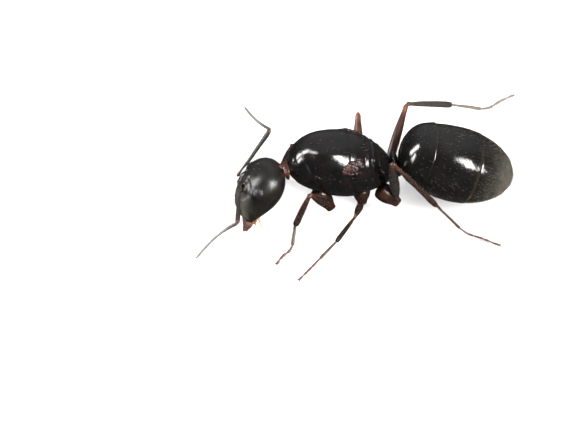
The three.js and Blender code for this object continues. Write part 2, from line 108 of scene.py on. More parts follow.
def makeLights():
    for name, (turn, lift, distance, wide, tall, watts, inGloss) in lightSet.items():
        lamp = bpy.data.lights.new(name, "AREA")
        lamp.shape = "RECTANGLE"
        lamp.size, lamp.size_y = wide, tall
        lamp.energy = watts
        lamp.color = (1.0, 0.985, 0.965)
        holder = newObject(name, lamp)
        holder.visible_glossy = inGloss
        aimFrom(holder, Vector((0, 0, 0.004)), turn, lift, distance)
    world = bpy.data.worlds.new("paleRoom")
    bpy.context.scene.world = world
    world.use_nodes = True
    make = NodeWriter(world.node_tree)
    sky = world.node_tree.nodes["Background"]
    sky.inputs["Color"].default_value = roomSet["colour"]
    where = make.node("ShaderNodeTexCoord").outputs["Generated"]
    dot = make.node("ShaderNodeVectorMath", {"operation": "DOT_PRODUCT"}, i0=where, i1=roomSet["brightWay"])
    glow = make.spread(dot.outputs["Value"], *roomSet["from"], *roomSet["glow"], smooth=True)
    make.wire(sky.inputs["Strength"], glow)
    bpy.context.scene.view_settings.view_transform = "Standard"


class NodeWriter:  # adds nodes to one tree, with values or links on their inputs
    def __init__(self, tree):
        self.tree = tree

    def wire(self, socket, value):
        if isinstance(value, bpy.types.NodeSocket):
            self.tree.links.new(value, socket)
        else:
            socket.default_value = value

    def node(self, kind, settings=None, **inputs):  # i0, i1 and so on name an input by its place
        made = self.tree.nodes.new(kind)
        for key, value in (settings or {}).items():
            setattr(made, key, value)
        for label, value in inputs.items():
            byPlace = label[0] == "i" and label[1:].isdigit()
            self.wire(made.inputs[int(label[1:]) if byPlace else label], value)
        return made

    def geo(self, kind, settings=None, **inputs):
        return self.node("GeometryNode" + kind, settings, **inputs)

    def math(self, operation, *values, clamp=False):
        inputs = {f"i{i}": value for i, value in enumerate(values)}
        return self.node("ShaderNodeMath", {"operation": operation, "use_clamp": clamp}, **inputs).outputs[0]

    def times(self, one, two, clamp=False):
        return self.math("MULTIPLY", one, two, clamp=clamp)

    def minus(self, one, two):
        return self.math("SUBTRACT", one, two)

    def vector(self, operation, *values, **named):
        inputs = {f"i{i}": value for i, value in enumerate(values)}
        return self.node("ShaderNodeVectorMath", {"operation": operation}, **inputs, **named).outputs[0]

    def scaled(self, vector, number):
        return self.vector("SCALE", vector, Scale=number)

    def spread(self, value, low, high, newLow, newHigh, smooth=False):
        settings = {"interpolation_type": "SMOOTHSTEP"} if smooth else None
        inputs = {"i0": value, "i1": low, "i2": high, "i3": newLow, "i4": newHigh}
        return self.node("ShaderNodeMapRange", settings, **inputs).outputs[0]

    def blend(self, share, one, two):
        return self.node("ShaderNodeMix", {"data_type": "RGBA"}, i0=share, i6=one, i7=two).outputs[2]

    def noise(self, where, scale, detail=2.0, roughness=0.5):
        return self.node("ShaderNodeTexNoise", None, Vector=where, Scale=scale, Detail=detail,
                         Roughness=roughness).outputs["Fac"]

    def cells(self, where, scale, feature):
        settings = {"feature": feature}
        return self.node("ShaderNodeTexVoronoi", settings, Vector=where, Scale=scale).outputs["Distance"]

    def bump(self, strength, depth, height, **onto):  # depth in millimetres
        return self.node("ShaderNodeBump", None, Strength=strength, Distance=depth * mm, Height=height,
                         **onto).outputs[0]

    def place(self):
        return self.node("ShaderNodeTexCoord").outputs["Object"]

    def carried(self, name):  # a number that the mesh carries
        return self.node("ShaderNodeAttribute", {"attribute_name": name}).outputs["Fac"]


makeCamera()
makeLights()
print("camera and lights ready")


# Small tools, all in millimetres.

def nodePoints(*names):  # merged copy of CAD nodes: points and faces
    mesh = bmesh.new()
    for name in names:
        mesh.from_mesh(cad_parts[name].data)
    bmesh.ops.remove_doubles(mesh, verts=mesh.verts, dist=1e-7)
    points, faces = bmeshArrays(mesh)
    return points / mm, faces


def bmeshArrays(mesh):  # points and faces of a bmesh, which is freed
    points = np.array([v.co for v in mesh.verts])
    faces = [[v.index for v in f.verts] for f in mesh.faces]
    mesh.free()
    return points, faces


def meshOf(name, points, faces, edges=()):
    mesh = bpy.data.meshes.new(name)
    mesh.from_pydata(np.asarray(points, float).tolist(), edges, [list(map(int, face)) for face in faces])
    return mesh


def readOut(items, field, wide=1, kind=np.float32):
    numbers = np.zeros(len(items) * wide, kind)
    items.foreach_get(field, numbers)
    return numbers.reshape(-1, wide) if wide > 1 else numbers


def arraysOf(mesh):  # points and faces of a mesh, which is removed
    points = readOut(mesh.vertices, "co", 3).astype(float)
    corners = readOut(mesh.loops, "vertex_index", kind=np.int32)
    faces = np.split(corners, readOut(mesh.polygons, "loop_start", kind=np.int32)[1:])
    bpy.data.meshes.remove(mesh)
    return points, [face.tolist() for face in faces]


def modified(mesh, kind, prepare):  # the plain mesh that one modifier makes of a mesh, which is removed
    work = newObject("work", mesh)
    modifier = work.modifiers.new("work", kind)
    prepare(modifier)
    result = bpy.data.meshes.new_from_object(work.evaluated_get(bpy.context.evaluated_depsgraph_get()))
    work.modifiers.remove(modifier)
    bpy.data.objects.remove(work)
    bpy.data.meshes.remove(mesh)
    return result


def remeshed(points, faces, voxel):
    def prepare(modifier):
        modifier.mode = "VOXEL"
        modifier.voxel_size = voxel
    return arraysOf(modified(meshOf("work", points, faces), "REMESH", prepare))


def subdivided(points, faces, levels):
    def prepare(modifier):
        modifier.levels = modifier.render_levels = levels
    return arraysOf(modified(meshOf("work", points, faces), "SUBSURF", prepare))


def runTree(tree, mesh, settings, carried=None):  # settings are the tree's named inputs
    for name, numbers in (carried or {}).items():
        numbers = np.asarray(numbers, np.float32)
        kind, field = ("FLOAT_VECTOR", "vector") if numbers.ndim == 2 else ("FLOAT", "value")
        mesh.attributes.new(name, kind, "POINT").data.foreach_set(field, numbers.ravel())

    def prepare(modifier):
        modifier.node_group = tree
        sockets = {item.name: item.identifier for item in tree.interface.items_tree if item.in_out == "INPUT"}
        for label, value in settings.items():
            modifier[sockets[label]] = value
    return modified(mesh, "NODES", prepare)


def unit(vector):
    vector = np.asarray(vector, float)
    return vector / np.linalg.norm(vector)


def units(rows):
    return rows / np.maximum(np.linalg.norm(rows, axis=1, keepdims=True), 1e-12)


def relaxed(points, faces, passes, amount=0.5):  # each point drifts towards its neighbours' mean
    pairs = np.array([(a, b) for face in faces for a, b in zip(face, face[1:] + face[:1])])
    one, two = np.unique(np.sort(pairs, axis=1), axis=0).T
    count = len(points)
    links = np.bincount(one, minlength=count) + np.bincount(two, minlength=count)
    points = points.copy()
    for _ in range(passes):
        for axis in range(3):
            column = points[:, axis]
            total = np.bincount(one, column[two], count) + np.bincount(two, column[one], count)
            points[:, axis] += amount * (total / links - column)
    return points


def softened(names, voxel, passes):  # CAD nodes with their edges eased
    points, faces = remeshed(*nodePoints(*names), voxel)
    return relaxed(points, faces, passes), faces


def fansOf(faces):  # the faces as triangles
    return np.array([(f[0], f[i], f[i + 1]) for f in faces for i in range(1, len(f) - 1)])


def normalsOf(points, faces):
    triangles = fansOf(faces)
    a, b, c = (points[triangles[:, i]] for i in range(3))
    turned = np.cross(b - a, c - a)
    normals = np.zeros_like(points)
    for axis in range(3):
        for i in range(3):
            normals[:, axis] += np.bincount(triangles[:, i], turned[:, axis], len(points))
    return units(normals)


def outward(points, faces):  # turns the faces round if they point inwards
    triangles = fansOf(faces)
    a, b, c = (points[triangles[:, i]] for i in range(3))
    if np.einsum("ij,ij->i", a, np.cross(b, c)).sum() < 0:
        faces = [face[::-1] for face in faces]
    return points, faces


def convexHull(points):
    mesh = bmesh.new()
    for point in points:
        mesh.verts.new(point)
    bmesh.ops.convex_hull(mesh, input=mesh.verts)
    bmesh.ops.delete(mesh, geom=[v for v in mesh.verts if not v.link_faces], context="VERTS")
    mesh.verts.index_update()
    return bmeshArrays(mesh)


def treeOf(points, faces):
    return BVHTree.FromPolygons([tuple(p) for p in points], faces)


def curveThrough(places, values):  # smooth curve through values or points
    places, values = np.array(places, float), np.array(values, float)
    slopes = np.gradient(values, places, axis=0)

    def at(place):
        place = np.clip(np.asarray(place, float), places[0], places[-1])
        i = np.clip(np.searchsorted(places, place) - 1, 0, len(places) - 2)
        span = places[i + 1] - places[i]
        t = (place - places[i]) / span
        if values.ndim > 1:
            span, t = span[:, None], t[:, None]
        s = 1 - t
        return (s * s * (1 + 2 * t) * values[i] + t * t * (3 - 2 * t) * values[i + 1]
                + t * s * s * span * slopes[i] - t * t * s * span * slopes[i + 1])
    return at


def runLengths(path):
    return np.concatenate([[0], np.cumsum(np.linalg.norm(np.diff(path, axis=0), axis=1))])


def smoothRoute(route, count):  # even steps along a smooth curve through the route's points
    steps = runLengths(route)
    return curveThrough(steps, route)(np.linspace(0, steps[-1], count))


def smoothStep(value, low, high):
    t = np.clip((value - low) / (high - low), 0, 1)
    return t * t * (3 - 2 * t)


def between(value, start, full, ebb, end):  # rises from start to full, falls from ebb to end
    return smoothStep(value, start, full) * (1 - smoothStep(value, ebb, end))


def hump(value, middle, spread):
    return np.exp(-((value - middle) / spread) ** 2)


def furrow(distance, depth, half):  # a groove with slightly raised banks
    return -depth * hump(distance, 0, half) + 0.3 * depth * hump(distance, 2 * half, half)


def lofted(rings):  # closed skin over rings, with a fan at each end
    rings = np.asarray(rings, float)
    count, sides = rings.shape[:2]
    points = np.vstack([rings.reshape(-1, 3), rings[0].mean(0), rings[-1].mean(0)])
    first, last, end = count * sides, count * sides + 1, (count - 1) * sides
    faces = []
    for r in range(count - 1):
        for i in range(sides):
            j = (i + 1) % sides
            faces.append([r * sides + i, r * sides + j, (r + 1) * sides + j, (r + 1) * sides + i])
    for i in range(sides):
        j = (i + 1) % sides
        faces.append([first, j, i])
        faces.append([last, end + i, end + j])
    return outward(points, faces)


def swept(path, wide, thick, sides, flat=(0, 0, 1), sideways=None):
    # Tube along a path; half width lies across, half thickness along the flat direction.
    path = np.asarray(path, float)
    along = units(np.gradient(path, axis=0))
    if sideways is None:
        across = np.cross(np.broadcast_to(flat, path.shape), along)
    else:
        across = np.asarray(sideways) - along * (along @ np.asarray(sideways))[:, None]
    across = units(across)
    lift = np.cross(along, across)
    turn = np.arange(sides) / sides * 2 * math.pi
    wide, thick = (np.broadcast_to(size, len(path))[:, None] for size in (wide, thick))
    return lofted(path[:, None] + across[:, None] * (wide * np.cos(turn))[..., None]
                  + lift[:, None] * (thick * np.sin(turn))[..., None])


def joined(*parts):  # several (points, faces) as one
    points, faces, start = [], [], 0
    for partPoints, partFaces in parts:
        points.append(partPoints)
        faces += [[i + start for i in face] for face in partFaces]
        start += len(partPoints)
    return np.vstack(points), faces


shown = {}  # finished pieces: points and faces in millimetres, and the slot


def addPiece(name, shape, finish, slotName, **carried):  # named after the CAD node that it stands for, if any
    points, faces = shape
    mesh = meshOf(name, np.asarray(points) * mm, faces)
    mesh.materials.append(finishes[finish])
    mesh.shade_smooth()
    for attribute, numbers in carried.items():
        layer = mesh.attributes.new(attribute, "FLOAT", "POINT")
        layer.data.foreach_set("value", np.asarray(numbers, np.float32))
    piece = newObject(f"{name}Look", mesh)
    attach(piece, "root")
    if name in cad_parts:
        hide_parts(name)
    shown[name] = (np.asarray(points), faces, slotName)
    return piece


# Shader groups and finishes.

def shaderGroup(name, inputs, outputs):
    group = bpy.data.node_groups.new(name, "ShaderNodeTree")
    for way, sockets in (("INPUT", inputs), ("OUTPUT", outputs)):
        for label, kind in sockets.items():
            group.interface.new_socket(label, in_out=way, socket_type="NodeSocket" + kind)
    given, end = group.nodes.new("NodeGroupInput").outputs, group.nodes.new("NodeGroupOutput").inputs
    return NodeWriter(group), given, end


shellInputs = {"Tone": "Color", "Cloud Tone": "Color", "Cloud": "Float", "Gloss": "Float",
               "Gloss Drift": "Float", "Net Scale": "Float", "Net Depth": "Float", "Dimple Depth": "Float"}
# Colour of the painted shade in the net's grooves.
grooveShadeBlack = (0.0, 0.0, 0.0, 1)


def makeShellSurface():
    # Netted insect shell: fine net, shallow dimples and cloudy tone, with the bump that goes with them, and
    # painted shade darkening the net's grooves.
    outputs = {"Colour": "Color", "Roughness": "Float", "Normal": "Vector"}
    make, given, end = shaderGroup("shellSurface", shellInputs, outputs)
    where = make.scaled(make.place(), 1 / mm)
    cloud = make.spread(make.noise(where, 1.3, 3.0, 0.55), 0.42, 0.72, 0.0, 1.0)
    colour = make.blend(make.times(cloud, given["Cloud"]), given["Tone"], given["Cloud Tone"])
    netLine = make.spread(make.cells(where, given["Net Scale"], "DISTANCE_TO_EDGE"), 0.0, 0.18, 0.0, 1.0)
    dimple = make.spread(make.cells(where, 5.5, "F1"), 0.04, 0.16, 0.0, 1.0)
    swell = make.noise(where, 3.2)
    drift = make.times(make.minus(swell, 0.5), given["Gloss Drift"])
    netBump = make.bump(given["Net Depth"], 0.004, netLine)
    dimpleBump = make.bump(given["Dimple Depth"], 0.012, dimple, Normal=netBump)
    # Painted shade: the net's grooves are darkened by up to a quarter, towards black.
    make.wire(end["Colour"], make.blend(make.spread(netLine, 0.0, 1.0, 0.25, 0.0), colour, grooveShadeBlack))
    make.wire(end["Roughness"], make.math("ADD", given["Gloss"], drift, clamp=True))
    make.wire(end["Normal"], make.bump(0.35, 0.02, swell, Normal=dimpleBump))
    return make.tree


def makeLimbTint():
    # Two tones along a limb, read from the warmth that the mesh carries.
    make, given, end = shaderGroup("limbTint", {"Dark": "Color", "Warm": "Color", "Warm Ends": "Float"},
                                   {"Colour": "Color"})
    patch = make.spread(make.noise(make.scaled(make.place(), 1 / mm), 2.4), 0.3, 0.7, 0.6, 1.15)
    share = make.times(make.carried("warmth"), make.times(patch, given["Warm Ends"]), clamp=True)
    make.wire(end["Colour"], make.blend(share, given["Dark"], given["Warm"]))
    return make.tree


shellSurface = makeShellSurface()
limbTint = makeLimbTint()
finishes = {}
shellIor = 1.54


def newMaterial(name, colour):
    material = bpy.data.materials.new(name)
    material.use_nodes = True
    material.diffuse_color = (*colour, 1)
    finishes[name] = material
    return NodeWriter(material.node_tree), material.node_tree.nodes["Principled BSDF"].inputs


def groupNode(make, group, values):
    placed = make.node("ShaderNodeGroup", {"node_tree": group})
    for label, value in values.items():
        placed.inputs[label].default_value = (*value, 1) if isinstance(value, tuple) else value
    return placed


def shellMaterial(name, *look):
    make, shader = newMaterial(name, look[0])
    surface = groupNode(make, shellSurface, dict(zip(shellInputs, look)))
    for label, source in (("Base Color", "Colour"), ("Roughness", "Roughness"), ("Normal", "Normal")):
        make.wire(shader[label], surface.outputs[source])
    shader["IOR"].default_value = shellIor
    return make, shader, surface


def limbMaterial(name, dark, warm, warmEnds, gloss):
    make, shader, surface = shellMaterial(name, dark, warm, 0.15, gloss, 0.12, 26.0, 0.3, 0.15)
    tint = groupNode(make, limbTint, {"Dark": dark, "Warm": warm, "Warm Ends": warmEnds})
    make.wire(surface.inputs["Tone"], tint.outputs["Colour"])


def headMaterial(name, *look):
    # The front of the face is paler, in patches: partly its grey hair, partly a painted sheen where the face
    # turns towards the side lamps.
    make, shader, surface = shellMaterial(name, *look)
    patch = make.spread(make.noise(make.place(), 1.6 / mm, 3.0), 0.3, 0.65, 0.45, 1.0)
    share = make.times(make.carried("paleFace"), patch, clamp=True)
    make.wire(shader["Base Color"], make.blend(share, surface.outputs["Colour"], (0.085, 0.078, 0.062, 1)))


def gasterMaterial(name, tone, edgeTone, gloss, lineDepth):
    # Black plate with fine cross lines, a golden-brown rear edge and a grey bloom towards the tail.
    look = (tone, gasterLook["cloud"], 0.4, gloss, 0.1, 22.0, 0.1, 0.12)
    make, shader, surface = shellMaterial(name, *look)
    ripple = make.noise(make.place(), 2.2 / mm)
    phase = make.math("ADD", make.times(make.carried("alongGaster"), 2 * math.pi / gasterLook["lineStep"]),
                      make.times(ripple, gasterLook["lineWander"]))
    edge = make.times(make.carried("rearEdge"), make.spread(ripple, 0.3, 0.65, 0.55, 1.0), clamp=True)
    bloom = make.times(make.carried("tailward"), make.spread(ripple, 0.3, 0.65, 0.45, 1.0), clamp=True)
    greyed = make.blend(bloom, surface.outputs["Colour"], gasterLook["bloom"])
    make.wire(shader["Base Color"], make.blend(edge, greyed, (*edgeTone, 1)))
    lines = make.math("SINE", phase)
    make.wire(shader["Normal"], make.bump(lineDepth, 0.004, lines, Normal=surface.outputs["Normal"]))


def setaMaterial(name, dark, light):
    make, shader = newMaterial(name, (0.3, 0.2, 0.1))
    speck = make.spread(make.noise(make.place(), 6 / mm, 1.0), 0.3, 0.7, 0.0, 1.0)
    make.wire(shader["Base Color"], make.blend(speck, (*dark, 1), (*light, 1)))
    make.wire(shader["Roughness"], make.spread(speck, 0.0, 1.0, 0.42, 0.3))
    shader["IOR"].default_value = shellIor


gasterLook = {"cloud": (0.013, 0.0115, 0.0095), "bloom": (0.06, 0.056, 0.047, 1), "lineStep": 0.085,
              "lineWander": 5.0}
shellLooks = {  # tone, cloud tone, cloud, gloss, drift, net scale, net depth, dimples
    "trunkShell": ((0.0035, 0.0035, 0.0036), (0.012, 0.0075, 0.006), 0.5, 0.15, 0.16, 22.0, 0.12, 0.1),
    "clypeusShell": ((0.035, 0.028, 0.022), (0.09, 0.045, 0.028), 0.8, 0.38, 0.12, 24.0, 0.4, 0.35),
    "hipShell": ((0.008, 0.0055, 0.0045), (0.05, 0.016, 0.008), 0.7, 0.2, 0.15, 24.0, 0.3, 0.2),
    "neckSkin": ((0.045, 0.016, 0.012), (0.13, 0.05, 0.035), 0.7, 0.26, 0.2, 18.0, 0.3, 0.3),
    "wingRootShell": ((0.012, 0.003, 0.004), (0.055, 0.018, 0.014), 0.9, 0.17, 0.2, 14.0, 0.25, 0.4),
    "jawShell": ((0.09, 0.045, 0.035), (0.2, 0.1, 0.07), 0.7, 0.28, 0.12, 20.0, 0.35, 0.5),
    "mouthSkin": ((0.45, 0.2, 0.06), (0.62, 0.38, 0.18), 0.7, 0.42, 0.1, 22.0, 0.3, 0.2),
    "eyeShell": ((0.006, 0.006, 0.0065), (0.015, 0.012, 0.01), 0.4, 0.28, 0.05, 40.0, 0.05, 0.0),
}
headLook = ((0.0045, 0.0044, 0.004), (0.018, 0.013, 0.009), 0.6, 0.31, 0.12, 24.0, 0.45, 0.35)
limbLooks = {  # dark, warm, how far the warm tone goes, gloss
    "legShell": ((0.011, 0.008, 0.0068), (0.075, 0.024, 0.012), 0.85, 0.26),
    # A lighter copy of the leg finish for the far hind shin: painted light.
    "greyLegShell": ((0.03, 0.028, 0.025), (0.06, 0.035, 0.022), 0.8, 0.36),
    "slateLegShell": ((0.015, 0.0142, 0.013), (0.05, 0.024, 0.015), 0.8, 0.27),
    "redLegShell": ((0.03, 0.01, 0.006), (0.17, 0.052, 0.028), 0.9, 0.3),
    "footShell": ((0.03, 0.013, 0.009), (0.1, 0.038, 0.022), 0.9, 0.32),
    # A lighter copy of the foot finish for the far hind foot: painted light.
    "paleFootShell": ((0.1, 0.093, 0.07), (0.2, 0.165, 0.13), 0.9, 0.4),
    "feelerShell": ((0.022, 0.018, 0.017), (0.06, 0.02, 0.014), 0.8, 0.36),
    "whipShell": ((0.2, 0.19, 0.18), (0.04, 0.024, 0.02), 0.9, 0.42),
}
gasterLooks = {  # tone, edge tone, gloss, depth of the cross lines
    "firstGasterShell": ((0.0035, 0.0035, 0.0036), (0.03, 0.021, 0.012), 0.13, 0.1),
    "gasterShell": ((0.0042, 0.004, 0.0038), (0.06, 0.04, 0.019), 0.14, 0.35),
    "tailShell": ((0.006, 0.0057, 0.0052), (0.05, 0.04, 0.026), 0.32, 0.5),
}
for makeLook, looks in (shellMaterial, shellLooks), (limbMaterial, limbLooks), (gasterMaterial, gasterLooks):
    for name, look in looks.items():
        makeLook(name, *look)
headMaterial("headShell", *headLook)
setaMaterial("setaGold", (0.07, 0.055, 0.036), (0.26, 0.21, 0.14))


def makeFloor(half=1.5):
    make, shader = newMaterial("paleTable", (0.9, 0.9, 0.9))
    grain = make.noise(make.place(), 400.0, 3.0)
    make.wire(shader["Base Color"], make.blend(grain, (0.9, 0.9, 0.905, 1), (0.93, 0.93, 0.93, 1)))
    shader["Roughness"].default_value = 0.85
    corners = [(-half, -half, 0), (half, -half, 0), (half, half, 0), (-half, half, 0)]
    floor = newObject("paleTable", meshOf("paleTable", corners, [range(4)]))
    floor.data.materials.append(finishes["paleTable"])
    floor.visible_glossy = False  # the black shell mirrors the room, not the table


makeFloor()
print("finishes ready")


# Measuring the frame.

def centreOf(*names):
    return nodePoints(*names)[0].mean(0)


def axesFrom(across, up):  # three unit rows: back, across, up
    across = unit(across)
    up = unit(up - across * np.dot(up, across))
    return np.array([np.cross(across, up), across, up])


def flatNormal(name):  # outward normal of a node's largest flat face, and a point on it
    points, faces = nodePoints(name)
    corners = points[np.array([face[:3] for face in faces])]
    turned = np.cross(corners[:, 1] - corners[:, 0], corners[:, 2] - corners[:, 0])
    areas = np.linalg.norm(turned, axis=1)
    normals = turned / areas[:, None]
    patch = [areas[(normals @ normal) > 0.9995].sum() for normal in normals]
    best = int(np.argmax(patch))
    return normals[best], corners[best, 0]


def sectionCentres(name, shares):  # centres of cuts across a node's longest direction
    points, faces = nodePoints(name)
    middle = points.mean(0)
    places = (points - middle) @ np.linalg.svd(points - middle)[2][0]
    centres = []
    for share in shares:
        level = places.min() + np.ptp(places) * share
        total, weight = np.zeros(3), 0.0
        for face in faces:
            crossed = []
            for a, b in zip(face, face[1:] + face[:1]):
                if (places[a] - level) * (places[b] - level) < 0:
                    t = (level - places[a]) / (places[b] - places[a])
                    crossed.append(points[a] * (1 - t) + points[b] * t)
            if len(crossed) == 2:
                size = np.linalg.norm(crossed[1] - crossed[0])
                total += (crossed[0] + crossed[1]) / 2 * size
                weight += size
        centres.append(total / weight)
    return np.array(centres)


def startingNear(line, point):  # turned round, if need be, to start at its nearer end
    return line if np.linalg.norm(line[0] - point) <= np.linalg.norm(line[-1] - point) else line[::-1]


def crossing(one, two):  # the point where two lines, each from two points, come closest
    a, u = one[0], unit(one[1] - one[0])
    b, v = two[0], unit(two[1] - two[0])
    gap = b - a
    slant = u @ v
    s = (gap @ u - slant * (gap @ v)) / (1 - slant * slant)
    t = (slant * (gap @ u) - gap @ v) / (1 - slant * slant)
    return (a + u * s + b + v * t) / 2


def smoothHull(points, start, end, rings, sides, levels=3):
    # Even skin round a convex cloud, cast outwards from the line between two inner points.
    tree = treeOf(*convexHull(points))
    axis = unit(end - start)
    across = unit(np.cross(upwards, axis))
    lift = np.cross(axis, across)
    cage = []
    for i in range(rings):
        share = (1 - math.cos(math.pi * i / (rings - 1))) / 2
        middle = start + (end - start) * (0.004 + 0.992 * share)
        ring = []
        for turn in (np.arange(sides) + 0.5) / sides * 2 * math.pi:
            ray = across * math.cos(turn) + lift * math.sin(turn)
            hit = tree.ray_cast(Vector(middle), Vector(ray))[0]
            ring.append(np.array(hit) if hit else middle + ray * 0.05)
        cage.append(ring)
    return subdivided(*lofted(cage), levels)


def shellPlate(name, hull, carve, voxel, soften, reach):
    # A node's solid with eased edges, its outer face laid on the smooth hull, then carved.
    points, faces = softened([name], voxel, soften)
    normals = normalsOf(points, faces)
    tree = treeOf(*hull)
    hullNormals = normalsOf(*hull)
    target, facing, gaps = points.copy(), np.zeros_like(points), np.zeros(len(points))
    for i, point in enumerate(points):
        target[i], _, face, gaps[i] = tree.find_nearest(Vector(point))
        facing[i] = hullNormals[hull[1][face]].mean(0)
    facing = units(facing)
    alike = np.einsum("ij,ij->i", normals, facing)
    onHull = smoothStep(alike, 0.86, 0.985) * (1 - smoothStep(gaps, reach * 0.7, reach))
    points += (target - points) * onHull[:, None]
    points = relaxed(points, faces, 1, 0.3)
    outer = smoothStep(alike, 0.55, 0.9) * (1 - smoothStep(gaps, reach, reach * 1.6))
    points += facing * (carve(points, facing) * outer)[:, None]
    return (points, faces), outer


def distanceTo(route, flat):  # distance in a plane from each point to a run of straight stretches
    best = np.full(len(flat), 9.0)
    for a, b in zip(route[:-1], route[1:]):
        a, b = np.array(a, float), np.array(b, float)
        t = np.clip((flat - a) @ (b - a) / ((b - a) @ (b - a)), 0, 1)
        best = np.minimum(best, np.linalg.norm(flat - a - t[:, None] * (b - a), axis=1))
    return best


# Trunk.

trunkAxes = axesFrom(centreOf("coxa_right_mid") - centreOf("coxa_left_mid"), upwards)
trunkNodes = ("pronotum", "mesoscutum", "scutellum", "mesopleura", "propodeum")
trunkPoints = nodePoints(*trunkNodes)[0]
trunkBack = trunkPoints @ trunkAxes[0]
trunkStart = trunkPoints[trunkBack < trunkBack.min() + 0.01].mean(0)
trunkEnd = trunkPoints[trunkBack > trunkBack.max() - 0.01].mean(0)
trunkHull = smoothHull(trunkPoints, trunkStart, trunkEnd, 20, 26)

trunkSet = {  # places run back from the collar's front edge, and up from the floor
    "make": (0.036, 2, 0.14),  # voxel, softening passes, reach of the smooth hull
    "seamDepth": 0.009,
    "collarFurrow": [(0.3, 3.75), (1.1, 3.5), (1.7, 3.0)],
    "sideFurrow": [(2.15, 3.72), (2.9, 4.02), (3.6, 4.45), (4.15, 4.85)],
    "lowFurrow": [(2.3, 3.0), (3.1, 2.72), (4.2, 2.95)],
    "rearFurrow": [(4.55, 2.9), (4.95, 3.7), (5.05, 4.35), (4.78, 5.1)],
    "backFurrow": 4.86,  # behind the scutellum, across the back
    "breathingHole": (5.42, 4.22),
    "scutumLine": (0.72, 1.7, 3.1),  # out from the middle, from, to
}


def trunkPlace(points):
    local = (points - trunkStart) @ trunkAxes.T
    return local[:, 0], local[:, 1], points[:, 2]


def sideShare(facing, low, high):  # 1 on the flanks, 0 on the back
    return smoothStep(np.abs(facing @ trunkAxes[1]), low, high)


def carveFlank(points, facing):
    back, out, up = trunkPlace(points)
    flat = np.stack([back, up], axis=1)
    change = furrow(distanceTo(trunkSet["sideFurrow"], flat), 0.04, 0.06)
    change += furrow(distanceTo(trunkSet["lowFurrow"], flat), 0.02, 0.05)
    return sideShare(facing, 0.3, 0.62) * (change + 0.035 * hump(back, 3.5, 0.5) * hump(up, 3.6, 0.42))


def carveScutum(points, facing):  # two fine lines and a middle one, a rim, and a fuller near flank
    back, out, up = trunkPlace(points)
    lineOut, lineStart, lineEnd = trunkSet["scutumLine"]
    top = smoothStep(facing[:, 2], 0.2, 0.5)
    change = furrow(np.abs(np.abs(out) - lineOut), 0.006, 0.03)
    change = change * between(back, lineStart - 0.15, lineStart, lineEnd, lineEnd + 0.15)
    change += -0.012 * hump(out, 0, 0.03) * between(back, 0.6, 0.9, 1.8, 2.2)
    fuller = between(back, 1.1, 2.0, 2.0, 4.0) * smoothStep(up, 4.6, 5.3)
    fuller = fuller * smoothStep(-(facing @ trunkAxes[1]), 0.2, 0.6)
    rim = hump(up, 5.2, 0.12) * smoothStep(back, 2.0, 2.6) * (1 - top)
    return change * top + 0.02 * rim + 0.17 * fuller


def carveScutellum(points, facing):
    back, out, up = trunkPlace(points)
    return 0.035 * np.exp(-(((back - 3.98) / 0.36) ** 2 + (out / 0.75) ** 2) ** 1.5)


def carveRear(points, facing):  # furrows, ribs, the breathing hole's rim and the gland's swelling
    back, out, up = trunkPlace(points)
    side = sideShare(facing, 0.3, 0.6)
    change = furrow(distanceTo(trunkSet["rearFurrow"], np.stack([back, up], axis=1)), 0.05, 0.06) * side
    change += furrow(np.abs(back - trunkSet["backFurrow"]), 0.06, 0.06) * (1 - side)
    ribs = np.maximum(0, np.sin((back - 4.5) * 17 + 0.6 * np.sin(up * 5 + np.abs(out) * 2)))
    ribs = ribs * smoothStep(up, 4.3, 4.7) * (1 - smoothStep(back, 5.2, 5.5))
    ribs = ribs * smoothStep(np.abs(out), 0.3, 0.6)
    holeBack, holeUp = trunkSet["breathingHole"]
    ring = np.hypot((back - holeBack) / 0.75, up - holeUp)
    change += 0.04 * ribs + side * (0.03 * hump(ring, 0.11, 0.03) - 0.08 * hump(ring, 0, 0.07))
    return change + 0.05 * hump(back, 5.35, 0.3) * hump(up, 3.1, 0.2) * side


def carveCollar(points, facing):
    back, out, up = trunkPlace(points)
    crease = furrow(distanceTo(trunkSet["collarFurrow"], np.stack([back, up], axis=1)), 0.04, 0.05)
    return sideShare(facing, 0.3, 0.6) * crease - 0.03 * hump(back, 0.32, 0.12)


carvings = {"pronotum": carveCollar, "mesoscutum": carveScutum, "scutellum": carveScutellum,
            "mesopleura": carveFlank, "propodeum": carveRear}
outerShare = {}
for plate, carve in carvings.items():
    shape, outerShare[plate] = shellPlate(plate, trunkHull, carve, *trunkSet["make"])
    addPiece(plate, shape, "trunkShell", "trunk_shell")


def makeSeamSkin():  # closes the seams, just under the plates
    points, faces = trunkHull
    normals = normalsOf(points, faces)
    plateTrees = [treeOf(*nodePoints(plate)) for plate in trunkNodes]
    gaps = np.array([[tree.find_nearest(Vector(p))[3] for p in points] for tree in plateTrees])
    change = np.zeros(len(points))
    for index, plate in enumerate(trunkNodes):
        own = gaps.argmin(0) == index
        change[own] = carvings[plate](points[own], normals[own])
    points = points + normals * (np.minimum(change, 0.1) - trunkSet["seamDepth"])[:, None]
    addPiece("seamSkin", (points, faces), "trunkShell", "trunk_shell")


makeSeamSkin()

wingSet = {  # lumps: back, up, half length, half height, stands out
    "scale": [(3.2, 5.12, 0.28, 0.26, 0.08), (3.7, 5.22, 0.62, 0.3, 0.07)],
    "hinges": [(3.46, 5.12, 0.2, 0.15, 0.16), (3.76, 5.0, 0.2, 0.14, 0.15), (4.02, 5.14, 0.16, 0.16, 0.11),
               (3.62, 5.42, 0.34, 0.15, 0.12), (4.02, 5.44, 0.24, 0.13, 0.1)],
    "ledge": [(3.45, 4.88, 0.22, 0.07, 0.08), (3.72, 4.82, 0.22, 0.06, 0.09), (3.98, 4.84, 0.18, 0.06, 0.07)],
    "voxel": 0.022,
    "folds": 0.02,
}
trunkTree = treeOf(*trunkHull)


